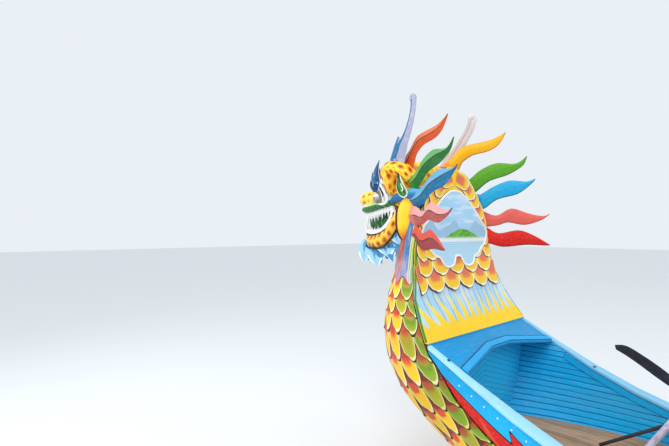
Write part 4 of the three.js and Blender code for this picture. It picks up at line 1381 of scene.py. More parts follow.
    def gum_paint(self):
        """White with thin dark lines where one tooth meets the next."""
        paint = Paint("gum_paint")
        between = paint.step(paint.math("SINE", paint.mark("along") * 290), 0.9, 0.98)
        lined = paint.mix(between * 0.6, "F4F4F2", "50505C")
        return paint.weathered(lined, dirt=0.1, gloss=0.22)

    def lip_paint(self):
        paint = Paint("lip_paint")
        wave = paint.math("SINE", paint.mark("along") * 190)
        lit = paint.mix(paint.step(wave, 0.2, 0.7), "1F7E20", "0C4214")
        edge = paint.step(paint.mark("around"), 0.55, 0.8)
        return paint.weathered(paint.mix(edge * 0.8, lit, "9FC84A"), dirt=0.1, gloss=0.3)


class BuildFace(bpy.types.Operator):
    """Models the eyes, brow flames, ears, cheeks and the collar"""
    bl_idname = "boat.face"
    bl_label = "Eyes, ears and cheeks"

    socket = [
        (5.845, 0.32, 2.545, 0.007, 0.007), (5.8, 0.345, 2.505, 0.011, 0.01),
        (5.742, 0.362, 2.44, 0.012, 0.011), (5.712, 0.362, 2.385, 0.012, 0.011),
        (5.75, 0.355, 2.352, 0.012, 0.01), (5.84, 0.325, 2.346, 0.011, 0.01),
        (5.925, 0.29, 2.358, 0.008, 0.008),
    ]
    lash = [
        (5.838, 0.328, 2.506, 0.003, 0.004), (5.806, 0.347, 2.476, 0.007, 0.006),
        (5.776, 0.358, 2.436, 0.006, 0.006), (5.768, 0.361, 2.408, 0.003, 0.004),
    ]
    cheek = ((5.446, 0.397, 2.2), (0.104, 0.1, 0.184))
    cheek_front = [
        (5.523, 0.448, 2.312), (5.531, 0.459, 2.255), (5.531, 0.462, 2.2), (5.523, 0.469, 2.145),
        (5.507, 0.469, 2.09), (5.485, 0.46, 2.044), (5.449, 0.432, 2.012),
    ]
    collar = [
        (5.705, 0.32, 2.35, 0.03, 0.018), (5.62, 0.338, 2.395, 0.042, 0.04),
        (5.52, 0.355, 2.385, 0.05, 0.038), (5.43, 0.375, 2.395, 0.056, 0.07),
        (5.335, 0.385, 2.39, 0.052, 0.074), (5.262, 0.4, 2.385, 0.04, 0.06),
    ]
    brow_tongues = (
        ((5.868, 0.345, 2.46), (5.838, 0.33, 2.72), 0.04, "06406E"),
        ((5.862, 0.35, 2.53), (5.925, 0.32, 2.65), 0.034, "0C5C96"),
        ((5.885, 0.345, 2.48), (5.952, 0.312, 2.585), 0.032, "063050"),
        ((5.89, 0.31, 2.55), (5.885, 0.27, 2.765), 0.052, "24507C"),
        ((5.935, 0.285, 2.48), (5.975, 0.245, 2.685), 0.042, "6C8CB4"),
    )
    cheek_line = 0.008
    eyeball = ((5.872, 0.288, 2.408), (0.064, 0.066, 0.058))
    eye_mound = ((5.8, 0.262, 2.44), (0.118, 0.085, 0.11))
    # Middle of the painted arcs round the eye, along the boat and up
    arc_middle = (5.868, 2.412)
    lid_arcs = ((0.0, "8A8078"), (0.31, "7A7068"), (0.33, "26262C"), (0.36, "F4F5F4"), (0.46, "DDE2EA"),
                (0.475, "3A3458"), (0.5, "EDEFF4"), (0.62, "D3D8E4"), (0.64, "3E3A64"), (0.66, "E6E8F0"))
    ear_out = (0.1, 1, 0)
    ear_front = [
        (5.538, 0.405, 2.625), (5.556, 0.412, 2.56), (5.566, 0.418, 2.5), (5.552, 0.422, 2.44),
        (5.52, 0.426, 2.398), (5.476, 0.43, 2.378),
    ]
    ear_back = [
        (5.536, 0.405, 2.626), (5.52, 0.412, 2.565), (5.49, 0.418, 2.505), (5.452, 0.422, 2.45),
        (5.434, 0.426, 2.405), (5.47, 0.43, 2.377),
    ]
    leaf_front = [
        (5.537, 0.415, 2.61), (5.547, 0.422, 2.556), (5.555, 0.428, 2.5), (5.542, 0.432, 2.446),
        (5.513, 0.436, 2.409), (5.477, 0.44, 2.392),
    ]
    leaf_back = [
        (5.536, 0.415, 2.611), (5.526, 0.422, 2.56), (5.5, 0.428, 2.505), (5.463, 0.432, 2.455),
        (5.447, 0.436, 2.415), (5.471, 0.44, 2.391),
    ]
    ear_curl = [
        (5.498, 0.448, 2.5, 0.003, 0.003), (5.482, 0.452, 2.476, 0.005, 0.004),
        (5.468, 0.454, 2.452, 0.005, 0.004), (5.476, 0.454, 2.436, 0.004, 0.004),
        (5.486, 0.454, 2.442, 0.003, 0.003),
    ]

    def execute(self, context):
        self.eyes()
        for number, (root, tip, width, code) in enumerate(self.brow_tongues, 1):
            paint = self.tongue_paint(f"brow_flame_paint_{number}", code)
            self.tongue(f"brow_flame_{number}", Vector(root), Vector(tip), width, paint)
        self.ears()
        pair("cheek", lambda bm: blob(bm, *self.cheek, self.drop, 28, 20), self.cheek_paint(),
             slot="orange_paint")
        # A dark line down the front of the cheek: a painted contour that also stands for the shadowed gap
        # between cheek and jaw
        front = [(*place, self.cheek_line, self.cheek_line) for place in self.cheek_front]
        pair("cheek_line", lambda bm: sweep(bm, front, 30, 8),
             plain_paint("cheek_line_paint", "2A1A14", dirt=0.1), slot="dark_wood")
        pair("collar_band", lambda bm: sweep(bm, self.collar, 30, 18), self.collar_paint(),
             slot="sky_blue_paint")
        return {"FINISHED"}

    def drop(self, spot):
        """Narrows an egg towards its foot, which stands out from the neck."""
        foot = max(-spot.z, 0)
        pull = 1 - 0.12 * foot ** 1.2
        return Vector((spot.x * pull + 0.1 * spot.z, spot.y * pull + 0.42 * foot, spot.z))

    def eyes(self):
        ball = Paint("eyeball")
        _, _, z = ball.axes()
        vein = ball.mix(ball.patches(0.45, 0.7, 40, 5), "A89C92", "6A564A")
        # A painted highlight: the top of the eyeball turns white
        glint = ball.step(z + (ball.noise(25, 2) - 0.5) * 0.05, 2.402, 2.436)
        ball_paint = ball.weathered(ball.mix(glint, vein, "F4F5F8"), dirt=0.1, gloss=0.12)
        pair("eyeball", lambda bm: blob(bm, *self.eyeball, u=26, v=18), ball_paint, slot="dark_wood")
        pair("eye_mound", lambda bm: blob(bm, *self.eye_mound, u=26, v=18), self.mound_paint(),
             slot="white_paint")
        pair("eye_socket", lambda bm: sweep(bm, self.socket, 36, 12, ACROSS),
             plain_paint("eye_socket_paint", "E6EAEC", dirt=0.3), slot="white_paint")
        pair("eye_lash", lambda bm: sweep(bm, self.lash, 28, 10, ACROSS),
             plain_paint("eye_lash_paint", "25242A", dirt=0.1), slot="dark_wood")

    def mound_paint(self):
        """White lids in arcs round the eye, with dark lines between them."""
        paint = Paint("eye_mound_paint")
        x, _, z = paint.axes()
        radius = paint.math("SQRT", (x - self.arc_middle[0]) ** 2 + (z - self.arc_middle[1]) ** 2) / 0.2
        return paint.weathered(paint.ramp(radius, self.lid_arcs), dirt=0.08, gloss=0.3)

    def tongue_paint(self, name, code):
        """One tone inside a pale edge."""
        paint = Paint(name)
        edge = abs(paint.mark("across") - 0.5) * 2
        return paint.weathered(paint.mix(paint.step(edge, 0.8, 0.95), code, "DDE8F0"), dirt=0.1, gloss=0.3)

    def tongue(self, name, root, tip, width, paint):
        """A small curling flame between two points."""
        rise = tip - root
        front = Vector((width, 0, 0))
        lower = [root - front * 0.8, root + rise * 0.35 - front * 1.1, root + rise * 0.7 - front * 0.2, tip]
        upper = [root + front * 0.8, root + rise * 0.3 + front * 1.2, root + rise * 0.65 + front * 0.9,
                 tip + Vector((0.003, 0, 0))]
        pair(name, lambda bm: blade(bm, lower, upper, (0.3, 1, 0), 0.022, 0.5, 14), paint,
             slot="sky_blue_paint", smooth=35)

    def ears(self):
        """A white leaf, a smaller green leaf on it and a white curl."""
        pair("ear_rim", lambda bm: blade(bm, self.ear_back, self.ear_front, self.ear_out, 0.018, 0.5, 20),
             plain_paint("ear_rim_paint", "EEF3E2"), replaces=("ear",))
        pair("ear_leaf", lambda bm: blade(bm, self.leaf_back, self.leaf_front, self.ear_out, 0.02, 0.5, 20),
             self.leaf_paint(), slot="green_paint")
        pair("ear_curl", lambda bm: sweep(bm, self.ear_curl, 20, 10, ACROSS),
             plain_paint("ear_curl_paint", "E9F0DC"), slot="white_paint")

    def leaf_paint(self):
        """Green that darkens to the tip as painted shade under the brow roll, with a paler streak down its
        middle.
        """
        paint = Paint("ear_leaf_paint")
        across, along = paint.mark("across"), paint.mark("along")
        streak = 1 - paint.step(abs(across - 0.45 + (paint.noise(20, 2) - 0.5) * 0.2), 0.05, 0.16)
        leaf = paint.mix(streak * 0.45, "136A1C", "4FA83C")
        # The top of the leaf, under the brow roll, is painted dark as shade
        return paint.weathered(paint.mix(1 - paint.step(along, 0.12, 0.42), leaf, "1E3430"), dirt=0.1)

    def cheek_paint(self):
        paint = Paint("cheek_paint")
        x, _, z = paint.axes()
        sway = (paint.noise(12, 3) - 0.5) * 0.05
        low = 1 - paint.step(z + sway, 2.04, 2.16)
        top = paint.step(z + sway, 2.31, 2.38)
        lit = paint.mix(low * 0.8, "FFC91A", "D8480C")
        warm = paint.mix(top * 0.7, lit, "EE7E1C")
        # The front of the cheek, towards the jaw, is painted darker brown as shade
        rim = paint.step(x + sway * 0.3, 5.49, 5.515)
        return paint.weathered(paint.mix(rim * 0.7, warm, "B85A12"), dirt=0.05, gloss=0.22)

    def collar_paint(self):
        paint = Paint("collar_paint")
        # The top of the band is painted lighter as a highlight
        top = paint.step(paint.mark("around"), 0.1, 0.7) * paint.step(paint.mark("along"), 0.35, 0.6)
        lit = paint.mix(top, "06689E", "4FA6D4")
        return paint.weathered(lit, dirt=0.1, gloss=0.3)


class BuildHorns(bpy.types.Operator):
    """Models the two tall horns with their prongs and round ends"""
    bl_idname = "boat.horns"
    bl_label = "Horns"

    front = [
        (5.72, 0.345, 2.65), (5.69, 0.355, 2.72), (5.63, 0.372, 2.785), (5.585, 0.388, 2.84),
        (5.525, 0.392, 2.905), (5.478, 0.398, 2.972), (5.43, 0.416, 3.05), (5.402, 0.43, 3.12),
        (5.392, 0.442, 3.18), (5.366, 0.455, 3.212),
    ]
    back = [
        (5.52, 0.362, 2.6), (5.508, 0.372, 2.7), (5.482, 0.384, 2.765), (5.455, 0.4, 2.835),
        (5.418, 0.415, 2.905), (5.384, 0.432, 2.972), (5.348, 0.452, 3.05), (5.326, 0.464, 3.12),
        (5.318, 0.474, 3.175), (5.345, 0.47, 3.208),
    ]
    prong_front = [(5.69, 0.366, 2.69), (5.65, 0.376, 2.77), (5.614, 0.384, 2.84), (5.572, 0.39, 2.915)]
    prong_back = [(5.56, 0.376, 2.68), (5.545, 0.384, 2.76), (5.53, 0.39, 2.83), (5.545, 0.394, 2.88)]
    end_ball = ((5.366, 0.45, 3.186), (0.031, 0.027, 0.037))
    outward = (0.35, 1, -0.2)
    ridge = 0.62
    # Tone of the body, of its paler rings and of the front edge
    tones = {"port": ("A6ACC4", "DCC8C8", "0E6A9C"), "starboard": ("DDD4D2", "EEE2DE", "C4B0AA")}

    def execute(self, context):
        for side, sign in SIDES:
            single(f"horn_{side}_carved", self.horn, self.paint(side, *self.tones[side]), sign,
                   replaces=(f"horn_{side}",))
        return {"FINISHED"}

    def horn(self, bm):
        blade(bm, self.back, self.front, self.outward, 0.036, self.ridge, 36, inner=1.0, taper=0.55)
        blob(bm, *self.end_ball, u=20, v=14)
        blade(bm, self.prong_back, self.prong_front, self.outward, 0.032, self.ridge, 14, inner=1.0)

    def paint(self, side, body, blush, front):
        paint = Paint(f"horn_paint_{side}")
        across, along = paint.mark("across"), paint.mark("along")
        edge = paint.step(across + (paint.noise(16, 3) - 0.5) * 0.1, 0.46, 0.52)
        rings = paint.patches(0.5, 0.75, 7, 4, (1, 1, 3))
        lit = paint.mix(rings * 0.5, body, blush)
        nick = paint.patches(0.7, 0.74, 46, 4) * paint.step(along, 0.3, 0.5)
        nicked = paint.mix(nick * 0.7, paint.mix(edge, lit, front), "4A4A52")
        return paint.weathered(nicked, dirt=0.2, gloss=0.32)


class BuildBeard(bpy.types.Operator):
    """Models the two layers of petals under the lower jaw"""
    bl_idname = "boat.beard"
    bl_label = "Beard petals"

    # Petals: root, tip and half width
    front_petals = (
        ((6.195, 0.065, 2.03), (6.24, 0.105, 1.78), 0.125),
        ((6.04, 0.155, 1.985), (5.965, 0.21, 1.772), 0.15),
        ((5.86, 0.215, 2.0), (5.77, 0.268, 1.868), 0.14),
        ((5.675, 0.275, 2.1), (5.6, 0.325, 1.98), 0.095),
    )
    back_petals = (
        ((6.14, 0.095, 2.0), (6.14, 0.13, 1.815), 0.1),
        ((5.96, 0.18, 1.99), (5.905, 0.215, 1.795), 0.11),
        ((5.8, 0.23, 2.03), (5.725, 0.27, 1.825), 0.105),
        ((5.69, 0.25, 2.1), (5.605, 0.28, 1.9), 0.095),
    )
    middle_petal = (((6.215, 0.0, 2.04), (6.28, 0.0, 1.8), 0.1),)
    # The way a petal spreads and the way its face looks
    side_axes = (Vector((1, -0.2, 0)).normalized(), Vector((0.2, 1, 0.2)).normalized())
    middle_axes = (Vector(ACROSS), Vector((1, 0, 0.2)))
    root_line = [
        (5.63, 0.335, 2.12, 0.008, 0.008), (5.7, 0.325, 2.045, 0.01, 0.01), (5.8, 0.296, 1.975, 0.01, 0.01),
        (5.92, 0.25, 1.944, 0.01, 0.01), (6.07, 0.205, 1.942, 0.01, 0.01), (6.185, 0.13, 1.962, 0.01, 0.01),
        (6.238, 0.0, 1.982, 0.01, 0.01),
    ]

    def execute(self, context):
        light = self.paint("petal_paint", "96D0F2", "14609C", "F6FBFE")
        # The back layer of petals takes a darker copy of the petal paint as painted shade
        dark = self.paint("petal_shade_paint", "3F92C8", "14507E", "BFE0F2")
        pair("beard_front", lambda bm: self.petals(bm, self.front_petals, 0.009), light,
             slot="pale_blue_paint")
        pair("beard_back", lambda bm: self.petals(bm, self.back_petals, 0.008), dark,
             slot="sky_blue_paint")
        single("beard_middle", lambda bm: self.petals(bm, self.middle_petal, 0.014, self.middle_axes), light,
               slot="pale_blue_paint", replaces=("beard",))
        single("beard_line", lambda bm: sweep(bm, mirrored(self.root_line), 70, 8),
               plain_paint("beard_line_paint", "0C2418", dirt=0.05), slot="dark_wood")
        return {"FINISHED"}

    def petals(self, bm, rows, depth, axes=side_axes):
        """Petals from rows of root, tip and half width, spread and raised along two axes."""
        spread, out = axes
        curl = out * 0.022
        for root, tip, width in rows:
            root, tip = Vector(root), Vector(tip)
            fall = tip - root
            lower, upper = [
                [root + half * 0.85, root + fall * 0.35 + half * 1.05 + curl,
                 root + fall * 0.72 + half * 0.68 + curl, tip + end]
                for half, end in ((spread * -width, Vector()), (spread * width, spread * 0.003))
            ]
            blade(bm, lower, upper, out, depth, 0.5, 12)

    def paint(self, name, body, vein, edge):
        """A white edge round the tip and one dark vein down the middle."""
        paint = Paint(name)
        across, along = paint.mark("across"), paint.mark("along")
        off = abs(across - 0.5)
        soft = (1 - paint.step(off, 0.02, 0.2)) * (1 - paint.step(along, 0.25, 0.75)) * 0.5
        middle = (1 - paint.step(off, 0.02, 0.045)) * (1 - paint.step(along, 0.55, 0.8))
        lined = paint.mix(middle * 0.85, paint.mix(soft, body, vein), vein)
        rim = paint.step(off + along * 0.07, 0.375, 0.415) * paint.step(along, 0.46, 0.62)
        return paint.weathered(paint.mix(rim, lined, edge), dirt=0.08, gloss=0.3)


# Deck, sides and cabin

class BuildDeck(bpy.types.Operator):
    """Lays the foredeck, its strip lining, the caps, the bow board and the stern deck"""
    bl_idname = "boat.deck"
    bl_label = "Decks and lining"

    lining_foot = 0.48
    strake_aft = 3.1
    strake_length = 1.52
    strake_height = 0.055
    # The strake starts from nothing and has its full height between these places
    strake_growth = (3.0, 4.0)
    # How far the strake's foot stands off the lining, and how much further its top
    strake_out = (0.006, 0.004)
    # The starboard cap takes the darker blue as painted shade
    cap_hues = {"port": "pale_blue", "starboard": "worn_blue"}
    cap_round = 0.006
    batten_width = 0.048
    batten_lift = 0.006
    # The strips at the head of the foredeck: their top, a place just aft of them and their fall to the sides
    head_top = 1.2
    head_place = 4.97
    fan = 0.333
    # Aft edge of the bow board: distance from the middle line and place along the boat
    notch = [(0.15, 4.84), (0.431, 4.78), (0.703, 4.722)]

    def execute(self, context):
        size = sizes()
        blue = self.strip_paint("lining_paint", hue("sky_blue"))
        deck_wood = wood_paint("deck_boards", hue("wood"))
        for name, node in (("foredeck", "foredeck_floor"), ("stern", "stern_deck"), ("cabin", "cabin_floor")):
            boards(f"{name}_boards", node, 1, size.board_pitch, deck_wood, "bare_wood")
        for side, sign in SIDES:
            boards(f"lining_strips_{side}", f"foredeck_lining_{side}", 2, size.strip_pitch, blue,
                   "sky_blue_paint")
            self.cap(side)
            single(f"lining_strake_{side}", lambda bm: self.strake(bm, side, sign),
                   plain_paint(f"strake_paint_{side}", hue("sky_blue"), chips=0.2), slot="sky_blue_paint")
        faded = mottled_paint("bow_board_paint", hue("deep_blue"), "1E9CD4", 0.5,
                              (0.4, 0.7, 3, 4, (1, 0.4, 1)), grain=(1, 0.1, 1), dirt=0.1)
        softened("bow_board_face", "bow_board", faded, "deep_blue_paint")
        single("bow_board_strip", self.batten, self.batten_paint(), slot="sky_blue_paint")
        # The head lining takes a lighter blue than the side lining, painted light against the shade it stands
        # in
        single("bow_lining", self.bow_lining, self.strip_paint("bow_lining_paint", "22C4FF", self.fan),
               slot="sky_blue_paint")
        return {"FINISHED"}

    def strip_paint(self, name, colour, fan=0.0):
        """Blue paint, faded unevenly and darkened by painted shade at the edges of each strip, which may fall
        to the sides.
        """
        paint = Paint(name)
        _, y, z = paint.axes()
        fade = paint.patches(0.45, 0.75, 1.6, 4, (0.5, 1, 3))
        lit = paint.mix(fade * 0.4, colour, "4CB4E0")
        level = z + abs(y) * fan if fan else z
        strip = paint.math("FRACT", (level - self.lining_foot) / sizes().strip_pitch)
        # Painted shade where one strip meets the next
        edge = 1 - paint.step(abs(strip - 0.5), 0.42, 0.5)
        return paint.weathered(paint.mix((1 - edge) * 0.8, lit, "06304E"), (0.1, 1, 1), 0.1)

    def batten_paint(self):
        """Light blue with a dark band of painted shade along its fore edge."""
        paint = Paint("board_strip_paint")
        # Painted shade along the fore edge
        gap = paint.step(paint.mark("across"), 0.84, 0.9)
        return paint.weathered(paint.mix(gap, "14A6E6", "06304E"), (0.1, 1, 1), 0.1)

    def cap(self, side):
        """A worn pale cap with bare patches where hands and feet have rubbed it."""
        paint = Paint(f"cap_paint_{side}")
        worn = paint.patches(0.58, 0.66, 5, 6, (0.5, 1, 1))
        streak = paint.patches(0.52, 0.75, 22, 5, (0.12, 1, 1))
        lit = paint.mix(streak * 0.25, hue(self.cap_hues[side]), "E0F0FA")
        paint.weathered(paint.mix(worn * 0.35, lit, "8FB4CC"), (0.1, 1, 1), 0.1, gloss=0.5)
        softened(f"gunwale_cap_{side}_worn", f"gunwale_cap_{side}", paint.material, "pale_blue_paint",
                 offset=self.cap_round)

    def strake(self, bm, side, sign):
        """The smooth strake under the cap at the head of the lining."""
        lining = tree_of(f"foredeck_lining_{side}")

        def place(vert):
            x = self.strake_aft + (vert.co.x + 1) / 2 * self.strake_length
            share = (1 - vert.co.y) / 2
            drop = self.strake_height * smooth_share(x, *self.strake_growth)
            point, _ = hit(lining, (x, 0, sheer(x) - CAP_DEPTH - drop * share), (0, sign, 0))
            return point + Vector((0, -sign * (self.strake_out[0] + self.strake_out[1] * (1 - share)), 0))

        plate(bm, 50, 2, place)

    def bow_lining(self, bm):
        """Strips across the head of the foredeck, below the bow board."""
        stem = tree_of("bow_stem")
        sides = {sign: tree_of(f"foredeck_lining_{side}") for side, sign in SIDES}
        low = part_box("foredeck_floor")[1][2] + 0.002

        def place(vert):
            z = low + (vert.co.y + 1) / 2 * (self.head_top - low)
            sign = 1 if vert.co.x >= 0 else -1
            edge, _ = hit(sides[sign], (self.head_place, 0, z), (0, sign, 0))
            point, _ = hit(stem, (self.head_place, vert.co.x * abs(edge.y), z), (1, 0, 0))
            return point - Vector((0.008, 0, 0))

        plate(bm, 24, 24, place)

    def batten(self, bm):
        """The batten along the notched aft edge of the bow board."""
        tree = tree_of("bow_board")
        across = mark_layer(bm, "across")

        def place(vert):
            vert[across] = (vert.co.y + 1) / 2
            y = vert.co.x * (self.notch[-1][0] - 0.004)
            x = read_rows(self.notch, abs(y), 1) + 0.002 + vert[across] * self.batten_width
            point, _ = hit(tree, (x, y, 3), (0, 0, -1))
            if point is None:
                raise RuntimeError(f"The bow board has no top at {x:.3f}, {y:.3f}")
            return point + Vector((0, 0, self.batten_lift))

        plate(bm, 40, 8, place)


class BuildCabin(bpy.types.Operator):
    """Boards the cabin walls and adds window frames, door panels and benches"""
    bl_idname = "boat.cabin"
    bl_label = "Cabin"

    windows = 6
    first_window = -4.06
    window_pitch = 1.08
    window_width = 0.82
    window_low = 0.9
    window_high = 1.55
    window_margin = 0.02
    aft_side_end = -0.95
    frame_width = 0.055
    frame_depth = 0.014
    # Foot and top of the mid-rail above the sill
    mid_rail = (0.31, 0.34)
    strake_pitch = 0.105
    strake_foot = 0.58
    wall_board = 0.115
    bench_slat = 0.08
    # Raised panels of a door: place of its fore face, distances from the middle line, foot and top
    door_face = 2.5302
    panel_sides = (0.055, 0.355)
    panel_heights = ((0.64, 1.1), (1.18, 1.8))
    field_inset = 0.05
    knob_aside = 0.035
    knob_height = 1.14

    def execute(self, context):
        white = self.wall_paint()
        for side, sign in SIDES:
            for part in ("aft", "fore"):
                boards(f"cabin_strakes_{part}_{side}", f"cabin_side_{part}_{side}", 2, self.strake_pitch,
                       white, "white_paint", self.strake_foot)
            single(f"window_frames_{side}", lambda bm: self.frames(bm, side, sign),
                   plain_paint(f"frame_paint_{side}", hue("deep_blue"), chips=0.4), slot="deep_blue_paint")
            bench = plain_paint(f"bench_paint_{side}", hue("sky_blue"), chips=0.6)
            boards(f"bench_slats_{side}", f"bench_{side}", 1, self.bench_slat, bench, "sky_blue_paint")
        for end in ("front", "rear"):
            boards(f"cabin_{end}_boards", f"cabin_{end}", 1, self.wall_board, white, "white_paint",
                   -self.wall_board / 2)
        for side, sign in SIDES:
            self.door(side, sign)
        return {"FINISHED"}

    def wall_paint(self):
        paint = Paint("wall_paint")
        _, _, z = paint.axes()
        streaks = paint.patches(0.5, 0.75, 8, 5, (1, 1, 0.15))
        low = 1 - paint.step(z, 0.6, 1.1)
        stained = paint.mix(streaks * (0.15 + low * 0.35), hue("white"), "A8A493")
        return paint.weathered(stained, (1, 1, 0.3), 0.18, 0.2)

    def frames(self, bm, side, sign):
        """Four rails and a mid-rail round each opening."""
        low, high, wide, far = self.window_low, self.window_high, self.frame_width, self.window_width
        # Each rail runs from one place along the window and height to another
        rails = (
            (-wide, low - wide, far + wide, low),
            (-wide, high, far + wide, high + wide),
            (-wide, low, 0, high),
            (far, low, far + wide, high),
            (0, low + self.mid_rail[0], far, low + self.mid_rail[1]),
        )
        for i in range(self.windows):
            x = self.first_window + i * self.window_pitch
            part = "aft" if x < self.aft_side_end else "fore"
            tree = tree_of(f"cabin_side_{part}_{side}")
            ends = [hit(tree, (at, 3 * sign, low - 0.1), (0, -sign, 0))[0]
                    for at in (x - self.window_margin, x + far + self.window_margin)]
            for u_low, z_low, u_high, z_high in rails:
                before = set(bm.verts)
                block(bm, (u_low, 0.001, z_low), (u_high, self.frame_depth, z_high), 0.004)
                for vert in set(bm.verts) - before:
                    wall = ends[0].lerp(ends[1], vert.co.x / far)
                    vert.co = (wall.x, wall.y + sign * vert.co.y, vert.co.z)

    def door(self, side, sign):
        """A yellow door leaf with raised red panels and a round knob."""
        node = f"cabin_door_{side}"
        body = f"{side}_door"
        softened(f"{node}_leaf", node, plain_paint(f"door_paint_{side}", hue("yellow"), chips=0.3),
                 "yellow_paint", body=body)
        single(f"door_panels_{side}", self.door_panels, plain_paint(f"door_panel_paint_{side}", hue("red")),
               sign, body=body, slot="red_paint")
        single(f"door_knob_{side}", self.knob, metal_paint(f"knob_metal_{side}", "C8A45A"),
               sign, body=body, slot="bronze")

    def door_panels(self, bm):
        face, inset = self.door_face, self.field_inset
        inner, outer = self.panel_sides
        for low, high in self.panel_heights:
            block(bm, (face, inner, low), (face + 0.008, outer, high), 0.006)
            block(bm, (face + 0.008, inner + inset, low + inset),
                  (face + 0.014, outer - inset, high - inset), 0.005)

    def knob(self, bm):
        face, aside, height = self.door_face, self.knob_aside, self.knob_height
        blob(bm, (face + 0.03, aside, height), (0.012, 0.016, 0.016), u=18, v=12)
        neck = [(face - 0.002, aside, height, 0.007, 0.007), (face + 0.026, aside, height, 0.006, 0.006)]
        sweep(bm, neck, 4, 12)


class BuildRoof(bpy.types.Operator):
    """Boards the curved roof and adds the rails along its eaves and its ridge board"""
    bl_idname = "boat.roof"
    bl_label = "Roof"

    board_pitch = 0.143
    # Beyond this half width the roof's edge has a rail
    rail_from = 0.8
    ridge_corners = ((-4.7, -0.035, 2.228), (2.8, 0.035, 2.252))

    def execute(self, context):
        paint = Paint("roof_paint")
        fade = paint.patches(0.4, 0.7, 2, 5, (1, 0.5, 1))
        blue = paint.mix(fade * 0.6, hue("sky_blue"), "7FC6E6")
        grime = paint.mix(paint.patches(0.58, 0.7, 6, 6) * 0.4, blue, "5C6B62")
        roof = paint.weathered(grime, (0.2, 1, 1), 0.3, 0.3)
        start = -self.board_pitch / 2
        boards("roof_boards_middle", "roof_middle", 1, self.board_pitch, roof, "sky_blue_paint", start)
        for side, sign in SIDES:
            boards(f"roof_boards_{side}", f"roof_side_{side}", 1, self.board_pitch, roof,
                   "sky_blue_paint", start)
            single(f"eave_rail_{side}", lambda bm: self.rail(bm, side, sign),
                   plain_paint(f"eave_rail_paint_{side}", hue("red"), chips=0.3), slot="red_paint")
        single("roof_ridge", lambda bm: block(bm, *self.ridge_corners, 0.006),
               plain_paint("ridge_paint", hue("yellow"), chips=0.4), slot="yellow_paint")
        return {"FINISHED"}

    def eave(self, side, sign):
        """Outer lower edge of the roof, from aft to fore."""
        rows = {}
        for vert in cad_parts[f"roof_side_{side}"].data.vertices:
            rows.setdefault(round(vert.co.x, 2), []).append(vert.co.copy())
        edge = []
        for x, row in sorted(rows.items()):
            widest = max(abs(p.y) for p in row)
            near = [p for p in row if abs(p.y) > widest - 0.004]
            edge.append(Vector((near[0].x, sign * widest, max(p.z for p in near))))
        return edge

    def rail(self, bm, side, sign):
        edge = [p for p in self.eave(side, sign) if abs(p.y) > self.rail_from]
        sweep(bm, [(p.x, p.y + 0.004 * sign, p.z - 0.012, 0.012, 0.02) for p in edge], 80, 10)


